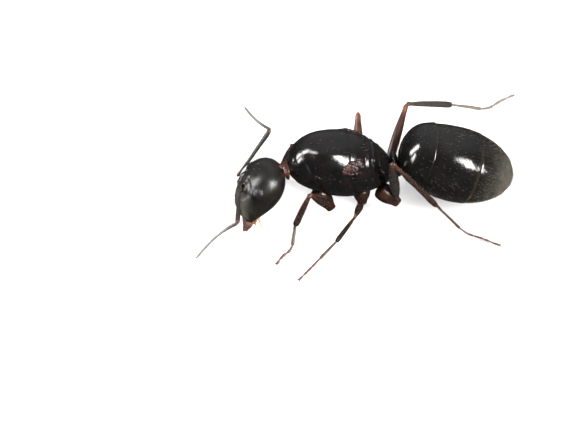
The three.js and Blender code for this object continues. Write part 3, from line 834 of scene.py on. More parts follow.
def onFlank(back, up, sign):  # point and outward direction on the side of the trunk
    middle = trunkStart + trunkAxes[0] * back
    middle[2] = up
    far = middle + trunkAxes[1] * sign * 5
    spot, normal, _, _ = trunkTree.ray_cast(Vector(far), Vector(-trunkAxes[1] * sign))
    return np.array(spot), np.array(normal)


def domeOn(spot, up, one, two, rings, sides):  # closed ball round a spot, from its three half sizes
    turn = np.linspace(0, math.pi, rings)[1:-1, None, None]
    around = np.linspace(0, 2 * math.pi, sides, endpoint=False)[None, :, None]
    return lofted(spot + up * np.cos(turn) + np.sin(turn) * (one * np.cos(around) + two * np.sin(around)))


def lumpOn(back, up, halfLong, halfHigh, proud, sign):
    spot, normal = onFlank(back, up, sign)
    lift = unit(np.cross(normal, trunkAxes[0]))
    return domeOn(spot, normal * proud, np.cross(lift, normal) * halfLong, lift * halfHigh, 12, 18)


for side, sign in bothSides:  # scale and torn root of each shed wing
    lumps = [lumpOn(*lump, sign) for lump in wingSet["scale"] + wingSet["hinges"] + wingSet["ledge"]]
    points, faces = remeshed(*joined(*lumps), wingSet["voxel"])
    points = relaxed(points, faces, 3)
    back, out, up = trunkPlace(points)
    fold = np.sin(back * 31 + up * 12) * np.sin(up * 27 - back * 9)
    points = points + normalsOf(points, faces) * (wingSet["folds"] * fold)[:, None]
    addPiece(f"wing_stump_{side}", (points, faces), "wingRootShell", "limb_shell")
print("trunk ready")

# Head.

faceDown, clypeusSpot = flatNormal("clypeus")
headAxes = axesFrom(centreOf("eye_right") - centreOf("eye_left"), -faceDown)
capsuleRaw = nodePoints("head_capsule")[0]
headSet = {  # forwards, out to the right, and up from the face
    "backOfAxis": 2.36,  # from the head's centre to the occiput
    "floorOfClypeus": 0.2,
    "hullFrom": (-2.36, 0, -0.08),
    "hullTo": (1.2, 0, 0.11),
    "make": (0.042, 4, 0.11),  # as on the trunk
    "makeClypeus": (0.03, 3, 0.11),
    "sockets": (-0.62, 0.6),
    "ocelli": [(-1.72, 0.0), (-1.98, 0.27), (-1.98, -0.27)],
    "ocellus": 0.062,
}
eyesMiddle = (centreOf("eye_right") + centreOf("eye_left")) / 2
headCentre = (headAxes[0] * ((capsuleRaw @ headAxes[0]).max() - headSet["backOfAxis"])
              + headAxes[1] * (eyesMiddle @ headAxes[1])
              + headAxes[2] * (clypeusSpot @ headAxes[2] - headSet["floorOfClypeus"]))


def headPlace(points):
    local = (points - headCentre) @ headAxes.T
    return -local[:, 0], local[:, 1], local[:, 2]


def fromHead(forward, out, lift):
    return headCentre - headAxes[0] * forward + headAxes[1] * out + headAxes[2] * lift


def nearOcelli(points, back, front, wide):  # which points lie on the bumps of the three small eyes
    forward, out, lift = headPlace(points)
    return (forward > back) & (forward < front) & (np.abs(out) < wide) & (lift > 0.7)


headCloud = np.vstack([capsuleRaw[~nearOcelli(capsuleRaw, -2.2, -1.5, 0.45)], nodePoints("clypeus")[0]])
headHull = smoothHull(headCloud, fromHead(*headSet["hullFrom"]), fromHead(*headSet["hullTo"]), 18, 22)
headTree = treeOf(*headHull)


def carveCapsule(points, facing):
    forward, out, lift = headPlace(points)
    side = np.abs(out)
    socketForward, socketOut = headSet["sockets"]
    ring = np.hypot(forward - socketForward, side - socketOut)
    change = 0.028 * hump(ring, 0.27, 0.07) - 0.06 * hump(ring, 0.5, 0.18)
    ridge = 0.34 + 0.2 * smoothStep(forward, -1.5, -0.6) - 0.05 * np.sin((forward + 1.4) * 3.2)
    change += 0.055 * hump(side, ridge, 0.05) * between(forward, -1.6, -1.35, -0.2, 0.05)
    change -= 0.02 * hump(out, 0, 0.03) * between(forward, -1.5, -1.3, -0.4, -0.3)
    change -= 0.03 * hump(forward, 0.75, 0.4) * hump(side, 0.85, 0.3)  # cheeks
    change = change * smoothStep(facing @ headAxes[2], 0.1, 0.5)
    change -= 0.04 * hump(out, 0, 0.06) * smoothStep(-(facing @ headAxes[2]), 0.3, 0.7)
    eyeRing = np.linalg.norm((points - fromHead(-1.0, 0, 0.66)) @ headAxes.T * (1, 0, 1.15), axis=1)
    change += 0.008 * hump(eyeRing, 0.46, 0.07) * smoothStep(side, 0.9, 1.2)
    return change - 0.035 * hump(forward, 1.05, 0.07)


def carveClypeus(points, facing):
    forward, out, lift = headPlace(points)
    keel = 0.05 * hump(out, 0, 0.12) + 0.03 * hump(np.abs(out), 0.4, 0.16)
    return keel * smoothStep(forward, 0.3, 0.6) - 0.03 * hump(forward, 1.12, 0.06)


capsule, outerShare["head_capsule"] = shellPlate("head_capsule", headHull, carveCapsule, *headSet["make"])
for i in np.flatnonzero(nearOcelli(capsule[0], -2.3, -1.45, 0.5)):  # the small eyes are beads of their own
    capsule[0][i] = headTree.find_nearest(Vector(capsule[0][i]))[0]
# Share of the paler face tone, set by which way the skin faces: in part grey hair, in part a painted sheen.
ahead = normalsOf(*capsule) @ headAxes.T
faceHairAndSheenShare = (smoothStep(-ahead[:, 0] * 0.75 + ahead[:, 2] * 0.65, 0.35, 0.95)
            * smoothStep(headPlace(capsule[0])[0], -1.3, 0.2))
addPiece("head_capsule", capsule, "headShell", "head_shell", paleFace=faceHairAndSheenShare)
shape, outerShare["clypeus"] = shellPlate("clypeus", headHull, carveClypeus, *headSet["makeClypeus"])
addPiece("clypeus", shape, "clypeusShell", "head_shell")


def geometryTree(name, inputs):
    tree = bpy.data.node_groups.new(name, "GeometryNodeTree")
    for label, kind in inputs.items():
        tree.interface.new_socket(label, in_out="INPUT", socket_type="NodeSocket" + kind)
    tree.interface.new_socket("Geometry", in_out="OUTPUT", socket_type="NodeSocketGeometry")
    return NodeWriter(tree), tree.nodes.new("NodeGroupInput").outputs


def finishTree(make, geometry, finish):
    whole = make.geo("RealizeInstances", None, Geometry=geometry)
    named = make.geo("SetMaterial", None, Geometry=whole.outputs[0], Material=finish)
    make.wire(make.node("NodeGroupOutput").inputs[0], named.outputs[0])
    return make.tree


def eyeTree():  # ball of many small lenses, each pushed out and drawn in
    make, given = geometryTree("facetedEye", {
        "Half Sizes": "Vector", "Fineness": "Int", "Lens Height": "Float", "Lens Shrink": "Float",
        "Finish": "Material"})
    ball = make.geo("MeshIcoSphere", None, Radius=1.0, Subdivisions=given["Fineness"])
    tiles = make.geo("DualMesh", None, Mesh=ball.outputs["Mesh"])
    sized = make.geo("Transform", None, Geometry=tiles.outputs[0], Scale=given["Half Sizes"])
    lens = make.geo("ExtrudeMesh", {"mode": "FACES"}, Mesh=sized.outputs[0], Individual=True,
                    **{"Offset Scale": given["Lens Height"]})
    cap = make.geo("ScaleElements", {"domain": "FACE"}, Geometry=lens.outputs["Mesh"],
                   Selection=lens.outputs["Top"], Scale=given["Lens Shrink"])
    return finishTree(make, cap.outputs[0], given["Finish"])


eyeSet = {"fineness": 5, "lensHeight": 0.006, "lensShrink": 0.62, "half": (0.42, 0.28, 0.35), "tilt": 30.0,
          "forward": -1.0, "out": 1.4, "lift": 0.58}
eyeInputs = {"Half Sizes": tuple(half - eyeSet["lensHeight"] for half in eyeSet["half"]),
             "Fineness": eyeSet["fineness"], "Lens Height": eyeSet["lensHeight"],
             "Lens Shrink": eyeSet["lensShrink"], "Finish": finishes["eyeShell"]}
eyeNodes = eyeTree()
for side, sign in bothSides:
    points, faces = arraysOf(runTree(eyeNodes, meshOf("work", [(0, 0, 0)], []), eyeInputs))
    tilt = math.radians(sign * eyeSet["tilt"])
    turned = np.stack([points[:, 0], points[:, 1] * math.cos(tilt) - points[:, 2] * math.sin(tilt),
                       points[:, 1] * math.sin(tilt) + points[:, 2] * math.cos(tilt)], axis=1)
    points = turned @ headAxes + fromHead(eyeSet["forward"], sign * eyeSet["out"], eyeSet["lift"])
    addPiece(f"eye_{side}", outward(points, faces), "eyeShell", "eye_lens")

for i, (forward, out) in enumerate(headSet["ocelli"]):
    spot = np.array(headTree.ray_cast(Vector(fromHead(forward, out, 3)), Vector(-headAxes[2]))[0])
    back, across, lift = headAxes * headSet["ocellus"]
    addPiece(f"ocellus_{i + 1}", domeOn(spot, lift * 0.8, back, across, 14, 24), "eyeShell", "eye_lens")
print("head ready")

# Jaws, mouth, neck and waist.

jawSet = {"voxel": 0.022, "soften": 5, "tipFrom": 1.2, "tipTo": 2.4, "lift": 0.1, "flatten": 0.45,
          "widen": 0.22, "taper": 0.7, "groove": 0.01, "hollow": 0.03, "slim": 0.01}


def makeJaw(side):  # tapers, flattens and turns in towards its tip
    points, faces = softened([f"mandible_{side}"], jawSet["voxel"], jawSet["soften"])
    forward, out, lift = headPlace(points)
    tipShare = smoothStep(forward, jawSet["tipFrom"], jawSet["tipTo"])
    normals = normalsOf(points, faces)
    onTop = smoothStep(normals @ headAxes[2], 0.3, 0.8)
    grooves = jawSet["groove"] * np.sin((np.abs(out) * 26 + forward * 4)) * smoothStep(forward, 1.3, 1.7)
    hollow = jawSet["hollow"] * hump(forward, 1.7, 0.4) * hump(np.abs(out), 0.3, 0.16)
    raised = jawSet["lift"] * (1 - tipShare ** 2) - (lift - lift.mean()) * jawSet["flatten"] * tipShare
    points = points + headAxes[2] * raised[:, None]
    points = points + headAxes[1] * (out * (jawSet["widen"] - jawSet["taper"] * tipShare ** 1.5))[:, None]
    points = points + normals * (onTop * (hollow + grooves) - jawSet["slim"])[:, None]
    return relaxed(points, faces, 1, 0.3), faces


for side, sign in bothSides:
    addPiece(f"mandible_{side}", makeJaw(side), "jawShell", "limb_shell")

mouthSet = {  # forwards, out, up in the head's own frame; flat parts with half widths
    "lip": [(0.8, 0, -0.45), (1.3, 0, -0.52), (1.7, 0, -0.56)],
    "lipWide": (0.17, 0.22, 0.1),
    "plate": [(0.75, 0.2, -0.42), (1.25, 0.22, -0.5), (1.62, 0.12, -0.56)],
    "plateWide": (0.1, 0.15, 0.06),
    "feeler": [(1.1, 0.28, -0.5), (1.28, 0.4, -0.7), (1.44, 0.5, -0.86), (1.6, 0.56, -0.98)],
    "feelerSize": (4, 0.055),  # joints, half thickness
    "shortFeeler": [(1.55, 0.1, -0.58), (1.7, 0.14, -0.66), (1.8, 0.16, -0.68)],
    "shortFeelerSize": (3, 0.045),
    "steps": 14,
}


def mouthRoute(name, sign):
    return [fromHead(forward, out * sign, up) for forward, out, up in mouthSet[name]]


def mouthPlate(name, sign, flatness, sides):
    steps = mouthSet["steps"]
    wide = curveThrough((0, 0.5, 1), mouthSet[name + "Wide"])(np.linspace(0, 1, steps))
    return swept(smoothRoute(mouthRoute(name, sign), steps), wide, wide * flatness, sides, flat=headAxes[2])


def mouthFeeler(name, sign, taper=0.7, pinch=0.55, sides=10, steps=9):
    # Each joint swells towards its far end.
    joints, radius = mouthSet[name + "Size"]
    path = smoothRoute(mouthRoute(name, sign), joints * steps + 1)
    share = np.linspace(0, joints, len(path))
    within = share - np.minimum(np.floor(share), joints - 1)
    arch = np.clip(np.sin(math.pi * (within * 0.92 + 0.04)), 0, 1)
    swell = (pinch + (1 - pinch) * np.sqrt(arch)) * (0.9 + 0.14 * within)
    radii = radius * swell * (1 + (taper - 1) * share / joints)
    radii[[0, -1]] *= (0.5, 0.35)
    return swept(path, radii, radii, sides, flat=headAxes[2])


mouthParts = [mouthPlate("lip", 0, 0.75, 16)]
for side, sign in bothSides:
    mouthParts.append(mouthPlate("plate", sign, 0.6, 14))
    mouthParts += [mouthFeeler(name, sign) for name in ("feeler", "shortFeeler")]
addPiece("mouthparts", joined(*mouthParts), "mouthSkin", "mouth")

neckSet = {"voxel": 0.035, "soften": 8, "rings": 5, "ringDepth": 0.05, "fatter": 0.08}
points, faces = softened(["neck"], neckSet["voxel"], neckSet["soften"])
neckSpan = points @ trunkAxes[0]
ringWave = np.cos((neckSpan - neckSpan.min()) / np.ptp(neckSpan) * math.pi * neckSet["rings"])
fatter = neckSet["ringDepth"] * ringWave + neckSet["fatter"]
addPiece("neck", (points + normalsOf(points, faces) * fatter[:, None], faces), "neckSkin", "limb_shell")
addPiece("petiole", softened(["petiole"], neckSet["voxel"], 12), "trunkShell", "trunk_shell")
print("jaws, neck and waist ready")

# Gaster.


def capCentres(name, links=20):  # hubs of the fans that close a node's two ends
    points, faces = nodePoints(name)
    uses = np.bincount([i for face in faces for i in face], minlength=len(points))
    return points[uses >= links]


gasterNodes = [f"gaster_{i}" for i in range(1, 6)]
hubs = [capCentres(name) for name in gasterNodes]
gasterStart = hubs[0][np.argmin(hubs[0] @ trunkAxes[0])]
gasterEnd = hubs[-1][np.argmax(hubs[-1] @ trunkAxes[0])]
gasterAxis = unit(gasterEnd - gasterStart)
gasterLength = np.linalg.norm(gasterEnd - gasterStart)
gasterOut = unit(np.cross(upwards, gasterAxis))
gasterUp = np.cross(gasterAxis, gasterOut)
joints = sorted(float((hub - gasterStart) @ gasterAxis) for pair in hubs for hub in pair)
seams = [(joints[2 * i + 1] + joints[2 * i + 2]) / 2 for i in range(4)]
gasterTree = treeOf(*smoothHull(nodePoints(*gasterNodes)[0], gasterStart, gasterEnd, 22, 28))

gasterSet = {
    "sides": 200,
    "step": 0.038,  # rings this far apart
    "endGap": 0.012,  # from the hull's two poles, and from the hull to the skin
    "overlap": 0.3,  # how far each plate runs on under the one before it
    "tuck": 0.075,  # and how deep
    "lip": (0.026, 0.34),  # how much a rear edge stands over the next plate, and from how far
    "lipTurn": [(0.016, 0.008), (0.022, 0.024), (0.016, 0.042), (-0.06, 0.07)],  # back, in
    "bellySeam": (-0.52, 0.035, 0.022),  # height of the side line as a share, its spread and its depth
    "swell": (0.03, 0.05, 0.03, 0.02, 0.0),  # how far each plate's middle stands over its ends
    "swellPlace": (0.0, 0.35, 0.0, 0.0, 0.0),  # and how far back that middle lies
    "flank": (0.17, 2.35, 40.0),  # extra fullness of the second plate, its turn and its spread
    "blunt": (0.1, 0.5, 0.5),  # fullness of the first plate's front, its place and its spread
    # Pale band before each edge: width, height where it is strongest, how far it reaches, strength.
    "band": [(0.09, 0.95, 0.35, 0.8), (0.2, -0.45, 0.4, 1.0), (0.1, -0.2, 0.5, 0.5), (0.08, 0.0, 0.6, 0.4)],
    "tailward": (0.64, 0.98),  # shares of the length over which the grey bloom sets in
}


def hullRadius(place, turns):  # distance from the axis to the hull, all round
    middle = gasterStart + gasterAxis * place
    radii = []
    for turn in turns:
        ray = gasterOut * math.cos(turn) + gasterUp * math.sin(turn)
        hit, _, _, distance = gasterTree.ray_cast(Vector(middle), Vector(ray))
        radii.append(distance if hit else 0.05)
    return np.array(radii)


def ringPlaces(index, start, end):  # even steps, or closer ones towards a rounded end
    steps = int((end - start) / gasterSet["step"])
    if 0 < index < 4:
        return np.linspace(start, end, steps + 1)
    turn = np.linspace(0, math.pi / 2, steps + 14)
    return start + (end - start) * (np.sin(turn) if index else 1 - np.cos(turn))


def plateSwell(index, place, exposed, end, turns):
    middleShare = 2 * (place - exposed) / (end - exposed) - 1 - gasterSet["swellPlace"][index]
    swell = gasterSet["swell"][index] * (max(1 - middleShare ** 2, -0.3) - 0.6)
    if index == 1:
        extra, best, spread = gasterSet["flank"]
        swell = swell + extra * (1 - middleShare ** 2) * np.exp(-(np.degrees(turns - best) / spread) ** 2)
    if index == 0:
        extra, best, spread = gasterSet["blunt"]
        swell = swell + extra * hump(place, best, spread)
    return swell


def edgeBand(index, toEdge, height, turns):
    wide, best, reach, strong = gasterSet["band"][index]
    strength = strong * (0.25 + 0.75 * hump(height, best, reach))
    return strength * (1 - smoothStep(toEdge / (wide * (1 + 0.25 * np.sin(turns * 3 + index))), 0.2, 1.0))


def makeSegment(index):
    exposed = seams[index - 1] if index else 0.0
    start = exposed - gasterSet["overlap"] if index else gasterSet["endGap"]
    end = seams[index] if index < 4 else gasterLength - gasterSet["endGap"]
    turns = np.arange(gasterSet["sides"]) / gasterSet["sides"] * 2 * math.pi
    height = np.sin(turns)
    seamHeight, seamSpread, seamDepth = gasterSet["bellySeam"]
    belly = hump(height, seamHeight, seamSpread)
    lipHeight, lipReach = gasterSet["lip"]
    around = gasterOut * np.cos(turns)[:, None] + gasterUp * np.sin(turns)[:, None]
    rings, edge, along, cover = [], [], [], []
    for place in ringPlaces(index, start, end):
        fromSeam = place - exposed
        tuck = gasterSet["tuck"] * (1 - smoothStep(fromSeam, -0.12, 0.09)) if index else 0
        rise = lipHeight * (1 - smoothStep(end - place, 0.0, lipReach)) if index < 4 else 0
        swell = plateSwell(index, place, exposed, end, turns)
        radii = hullRadius(place, turns) - (tuck + gasterSet["endGap"] - rise - swell + seamDepth * belly)
        rings.append(gasterStart + gasterAxis * place + radii[:, None] * around)
        band = edgeBand(index, end - place, height, turns) if index < 4 else turns * 0
        edge.append(band + 0.5 * belly * (1 - band))
        along.append(np.full_like(turns, place))
        cover.append(np.full_like(turns, float(fromSeam > 0.12 or index == 0)))
    if index < 4:  # rounded rear lip, turned in under itself
        outline = rings[-1]
        inwards = units(outline - outline.mean(0))
        for back, inset in gasterSet["lipTurn"]:
            rings.append(outline + gasterAxis * back - inwards * inset)
            edge.append(band * 0.6)
            along.append(np.full_like(turns, end + back))
            cover.append(np.zeros_like(turns))
    along = np.append(np.concatenate(along), [start, end])
    values = {"rearEdge": np.append(np.concatenate(edge), [edge[0][0], edge[-1][0]]),
              "tailward": smoothStep(along / gasterLength, *gasterSet["tailward"]),
              "alongGaster": along}
    return lofted(rings), values, np.append(np.concatenate(cover), [0, 0])


gasterFinishes = ("firstGasterShell", "gasterShell", "gasterShell", "tailShell", "tailShell")
gasterCover = {}
for index, (name, finish) in enumerate(zip(gasterNodes, gasterFinishes)):
    shape, values, gasterCover[name] = makeSegment(index)
    addPiece(name, shape, finish, "gaster_shell" if index else "trunk_shell", **values)
print("gaster ready")

# Antennae.

antennaSet = {
    "scapeRows": [(0, 0.05), (0.02, 0.095), (0.05, 0.1), (0.09, 0.075), (0.3, 0.098), (0.7, 0.13),
                  (0.93, 0.145), (0.98, 0.125), (1, 0.05)],
    "beads": 11,
    "beadRadius": 0.1,
    "beadSides": 14,
    "beadSteps": 10,
    "taper": 0.22,
    "sunk": 0.16,  # how deep a scape's ball sits in its socket
    "sides": 18,
}


def beadTree():  # tube along a path, each bead widest near its far end
    make, given = geometryTree("beadedFeeler", {
        "Path": "Geometry", "Beads": "Int", "Radius": "Float", "Taper": "Float", "Sides": "Int",
        "Steps": "Int", "Finish": "Material"})
    curve = make.geo("MeshToCurve", None, Mesh=given["Path"])
    steps = make.math("ADD", make.times(given["Beads"], given["Steps"]), 1.0)
    fine = make.geo("ResampleCurve", None, Curve=curve.outputs[0], Count=steps)
    share = make.geo("SplineParameter").outputs["Factor"]
    within = make.math("FRACT", make.minus(make.times(share, given["Beads"]), 0.0001))
    shape = make.node("ShaderNodeFloatCurve", None, Value=within)
    curvePoints = shape.mapping.curves[0].points
    curvePoints[0].location, curvePoints[1].location = (0.0, 0.62), (1.0, 0.7)
    for place in ((0.12, 0.84), (0.5, 0.95), (0.86, 1.0)):
        curvePoints.new(*place)
    shape.mapping.update()
    size = make.times(make.minus(1.0, make.times(share, given["Taper"])), given["Radius"])
    blunt = make.math("SQRT", make.times(make.minus(1.012, share), 11.0), clamp=True)
    radius = make.times(make.times(shape.outputs[0], size), blunt)
    ring = make.geo("CurvePrimitiveCircle", None, Resolution=given["Sides"], Radius=1.0)
    skin = make.geo("CurveToMesh", None, Curve=fine.outputs[0], Scale=radius,
                    **{"Profile Curve": ring.outputs["Curve"], "Fill Caps": True})
    return finishTree(make, skin.outputs[0], given["Finish"])


def makeBeads(route):
    beads, steps = antennaSet["beads"], antennaSet["beadSteps"]
    path = smoothRoute(route, beads * steps + 1)
    mesh = meshOf("work", path, [], [(i, i + 1) for i in range(len(path) - 1)])
    return outward(*arraysOf(runTree(beadNodes, mesh, {
        "Beads": beads, "Radius": antennaSet["beadRadius"], "Taper": antennaSet["taper"],
        "Sides": antennaSet["beadSides"], "Steps": steps, "Finish": finishes["whipShell"]})))


beadNodes = beadTree()
for side, sign in bothSides:
    scape = startingNear(sectionCentres(f"scape_{side}", np.linspace(0.04, 0.96, 9)), headCentre)
    whip = startingNear(sectionCentres(f"funiculus_{side}", np.linspace(0.03, 0.97, 13)), scape[-1])
    elbow = (scape[-1] + whip[0]) / 2
    root = scape[0] - unit(scape[1] - scape[0]) * antennaSet["sunk"]
    scapeRoute = smoothRoute(np.vstack([root, scape[:-1], elbow - unit(whip[0] - elbow) * 0.02]), 60)
    share = np.linspace(0, 1, len(scapeRoute))
    radii = curveThrough(*zip(*antennaSet["scapeRows"]))(share)
    warmth = np.maximum(1 - smoothStep(share, 0.02, 0.16), smoothStep(share, 0.86, 0.97))
    tube = swept(scapeRoute, radii, radii * 0.92, antennaSet["sides"], flat=headAxes[2])
    addPiece(f"scape_{side}", tube, "feelerShell", "limb_shell",
             warmth=np.append(np.repeat(warmth, antennaSet["sides"]), [1, 1]))
    beads = makeBeads(np.vstack([elbow, whip[1:], whip[-1] + unit(whip[-1] - whip[-2]) * 0.1]))
    fade = np.linalg.norm(beads[0] - elbow, axis=1)
    addPiece(f"funiculus_{side}", beads, "whipShell", "limb_shell", warmth=1 - smoothStep(fade, 0.3, 1.6))
print("antennae ready")

# Legs.

legSet = {  # half thicknesses in millimetres
    "front": {"coxa": 0.52, "femur": 0.25, "tibia": 0.2, "foot": 0.115, "spur": 0.34, "spurBend": -0.25},
    "mid": {"coxa": 0.54, "femur": 0.24, "tibia": 0.15, "foot": 0.09, "spur": 0.3, "spurBend": -0.08},
    "hind": {"coxa": 0.56, "femur": 0.3, "tibia": 0.178, "foot": 0.09, "spur": 0.36, "spurBend": -0.08},
    # How far back, in and up from the hip each coxa starts.
    "hipRoot": {"front": (-0.85, 0.4, 1.25), "mid": (-0.02, 0.3, 1.0), "hind": (-1.05, 0.35, 0.9)},
    "farther": {("right", "front"): (1.0, 0.16), ("right", "mid"): (1.5, 0.02)},  # stoutness, bow of a thigh
    "footJoints": (0.46, 0.66, 0.79, 0.87, 1.0),  # where the five foot segments end
    "claw": 0.19,
    "clawHeight": 0.1,
    "pad": (0.4, 0.75, 0.95, 1, 1.05, 1.05, 0.95, 0.7, 0.3),
}
legFinishes = {  # thigh, shin and foot, where a leg departs from the rest
    ("left", "hind"): ("slateLegShell", "legShell", "footShell"),
    ("right", "mid"): ("redLegShell", "redLegShell", "footShell"),
    # The far hind leg's grey shin and pale foot are lighter copies of the leg finish: painted light.
    ("right", "hind"): ("redLegShell", "greyLegShell", "paleFootShell"),
}
limbRows = {  # share of the length, share of the half thickness
    "coxa": [(0, 0.4), (0.06, 0.8), (0.2, 1.0), (0.42, 1.0), (0.62, 0.86), (0.8, 0.64), (0.92, 0.54),
             (0.98, 0.44), (1, 0.2)],
    "femur": [(0, 0.2), (0.02, 0.46), (0.055, 0.6), (0.085, 0.52), (0.11, 0.42), (0.15, 0.56), (0.26, 0.86),
              (0.42, 1.0), (0.6, 0.94), (0.78, 0.72), (0.9, 0.55), (0.955, 0.53), (0.985, 0.4), (1, 0.12)],
    "tibia": [(0, 0.25), (0.015, 0.66), (0.04, 0.78), (0.08, 0.62), (0.13, 0.66), (0.25, 0.84), (0.5, 0.98),
              (0.75, 1.04), (0.93, 1.0), (0.975, 0.84), (1, 0.3)],
    "foot": [(0, 0.45), (0.05, 0.6), (0.2, 0.74), (0.8, 0.95), (0.93, 1.0), (0.98, 0.86), (1, 0.5)],
    "lastFoot": [(0, 0.4), (0.05, 0.5), (0.4, 0.6), (0.8, 0.86), (0.93, 0.9), (1, 0.5)],
}


def limbTube(part, start, end, radius, bend, across, flatness, count=70, sides=22):
    share = np.linspace(0, 1, count)
    up = unit(np.cross(end - start, across))
    up = up if up[2] > 0 else -up
    path = np.linspace(start, end, count) + np.outer(bend * np.sin(share * math.pi), up)
    radii = curveThrough(*zip(*limbRows[part]))(share) * radius
    shape = swept(path, radii * flatness, radii, sides, sideways=across)
    return shape, np.append(np.repeat(share, sides), [0, 1])


def footTube(path, across, radius, sides=14, perJoint=14):
    # Five segments, each narrow at its root and widest near its far rim.
    steps = runLengths(path)
    shares, radii, begin = [], [], 0.0
    for i, finish in enumerate(legSet["footJoints"]):
        within = np.linspace(0, 1, perJoint if i else 2 * perJoint)
        profile = curveThrough(*zip(*limbRows["foot" if i < 4 else "lastFoot"]))
        shares.append(begin + (finish - begin) * within)
        radii.append(radius * (0.82 if i else 1.0) * profile(within))
        begin = finish
    shares, radii = np.concatenate(shares), np.concatenate(radii)
    shares += np.arange(len(shares)) * 1e-6  # no two rings in one place
    route = curveThrough(steps / steps[-1], path)(shares)
    shape = swept(route, radii, radii * 0.9, sides, sideways=across)
    return shape, np.append(np.repeat(shares, sides), [0, 1])


def spike(root, ahead, side, size, bend, thick):
    share = np.linspace(0, 1, 12)
    path = root + np.outer(share * size, ahead) + np.outer(np.sin(share * math.pi / 2) * size * bend, side)
    radii = thick * np.sqrt(np.clip(1 - share, 0.004, 1)) * np.minimum(1, 0.6 + share * 6)
    return swept(path, radii, radii, 8, sideways=np.cross(ahead, side))


def clawShape(root, ahead, sideways, size):
    share = np.linspace(0, 1, 12)
    path = (np.outer(np.sin(share * 1.45), ahead) + np.outer(0.5 * np.sin(share * 1.2), sideways)
            - np.outer(0.42 * (1 - np.cos(share * 1.9)), upwards)) * size + root
    radii = size * np.array([0.11, 0.125, 0.13, 0.125, 0.115, 0.105, 0.092, 0.078, 0.062, 0.045, 0.028, 0.01])
    return swept(path, radii, radii, 8)


def makeFoot(ankle, centres, across, thick, legTips):
    path = np.vstack([ankle, centres])
    lastWay = unit(centres[-1] - centres[-2])
    path[-1] += lastWay * max(max((legTips - centres[-1]) @ lastWay) - 0.08, 0)
    drop = max(path[-1, 2] - legSet["clawHeight"], 0)
    path[:, 2] -= drop * smoothStep(np.linspace(0, 1, len(path)), 0.1, 1.0)
    tube, shares = footTube(path, across, thick)
    end = path[-1]
    ahead = unit((path[-1] - path[-2]) * (1, 1, 0))
    sideways = np.cross(ahead, upwards)
    parts, warm = [tube], [0.45 + 0.55 * smoothStep(shares, 0.2, 0.8)]
    for _, sign in bothSides:
        parts.append(clawShape(end + sideways * sign * 0.028, ahead, sideways * sign, legSet["claw"]))
        warm.append(np.full(len(parts[-1][0]), 1.0))
    padPath = np.linspace(end - ahead * 0.02, end + ahead * 0.08 - upwards * 0.02, len(legSet["pad"]))
    parts.append(swept(padPath, 0.04 * np.array(legSet["pad"]), 0.028, 10))
    warm.append(np.full(len(parts[-1][0]), 0.8))
    return joined(*parts), np.concatenate(warm)


def measureLeg(side, pair):  # hip, knee, ankle, five places along the foot, and across
    femurLine = sectionCentres(f"femur_{side}_{pair}", (0.2, 0.8))
    tibiaLine = sectionCentres(f"tibia_{side}_{pair}", (0.2, 0.8))
    knee = crossing(femurLine, tibiaLine)
    femurLine = startingNear(femurLine, knee)[::-1]
    tibiaLine = startingNear(tibiaLine, knee)
    shares = np.array([0.12, 0.4, 0.7, 0.86, 0.985])
    foot = sectionCentres(f"tarsus_{side}_{pair}", shares)
    if np.linalg.norm(foot[0] - knee) > np.linalg.norm(foot[-1] - knee):
        foot = sectionCentres(f"tarsus_{side}_{pair}", 1 - shares)
    ankle = crossing(tibiaLine, foot[:2])
    heel = crossing(foot[:2], foot[2:4])
    foot = np.array([ankle + (heel - ankle) * 0.5, ankle + (heel - ankle) * 0.92,
                     heel + (foot[3] - heel) * 0.1, foot[2] * 0.5 + foot[3] * 0.5, foot[4]])
    inner = femurLine[0] + (femurLine[0] - femurLine[1]) * 0.36
    hip = inner + (centreOf(f"coxa_{side}_{pair}") - inner) * 0.12
    return hip, knee, ankle, foot, unit(np.cross(knee - hip, ankle - knee))


def makeLeg(side, pair, hip, knee, ankle, foot, across):
    sizes, end = legSet[pair], f"{side}_{pair}"
    thighFinish, shinFinish, footFinish = legFinishes.get((side, pair), ("legShell", "legShell", "footShell"))
    back, inside, lift = legSet["hipRoot"][pair]
    inside *= 1 if side == "left" else -1
    coxaStart = hip + trunkAxes[0] * back + trunkAxes[1] * inside + upwards * lift
    coxaEnd = hip + unit(hip - coxaStart) * 0.12
    coxaTube, _ = limbTube("coxa", coxaStart, coxaEnd, sizes["coxa"], 0.03, across, 0.92, 60, 26)
    addPiece(f"coxa_{end}", coxaTube, "hipShell", "limb_shell")

    stout, bow = legSet["farther"].get((side, pair), (1.0, 0.02))
    thigh, share = limbTube("femur", hip, knee, sizes["femur"] * stout, bow, across, 0.85)
    warm = np.maximum(1 - smoothStep(share, 0.06, 0.24), smoothStep(share, 0.78, 0.97))
    addPiece(f"femur_{end}", thigh, thighFinish, "limb_shell", warmth=0.12 + 0.88 * warm)

    shank, share = limbTube("tibia", knee, ankle, sizes["tibia"], 0.03, across, 0.86)
    ahead = unit(ankle - knee)
    inwards = unit(np.cross(across, ahead))
    inwards = inwards if inwards @ (foot[-1] - ankle) > 0 else -inwards
    root = ankle - ahead * 0.06 + inwards * sizes["tibia"] * 0.7
    pointing = unit(ahead + 0.25 * inwards + unit(foot[0] - ankle) * 0.6)
    spur = spike(root, pointing, inwards, sizes["spur"], sizes["spurBend"], 0.03)
    warm = np.append(0.2 + 0.8 * (1 - smoothStep(share, 0.05, 0.3)), np.full(len(spur[0]), 0.9))
    addPiece(f"tibia_{end}", joined(shank, spur), shinFinish, "limb_shell", warmth=warm)

    thick = sizes["foot"] * (1.25 if footFinish == "paleFootShell" else 1.0)
    footShape, warm = makeFoot(ankle, foot, across, thick, nodePoints(f"tarsus_{end}")[0])
    addPiece(f"tarsus_{end}", footShape, footFinish, "limb_shell", warmth=warm)


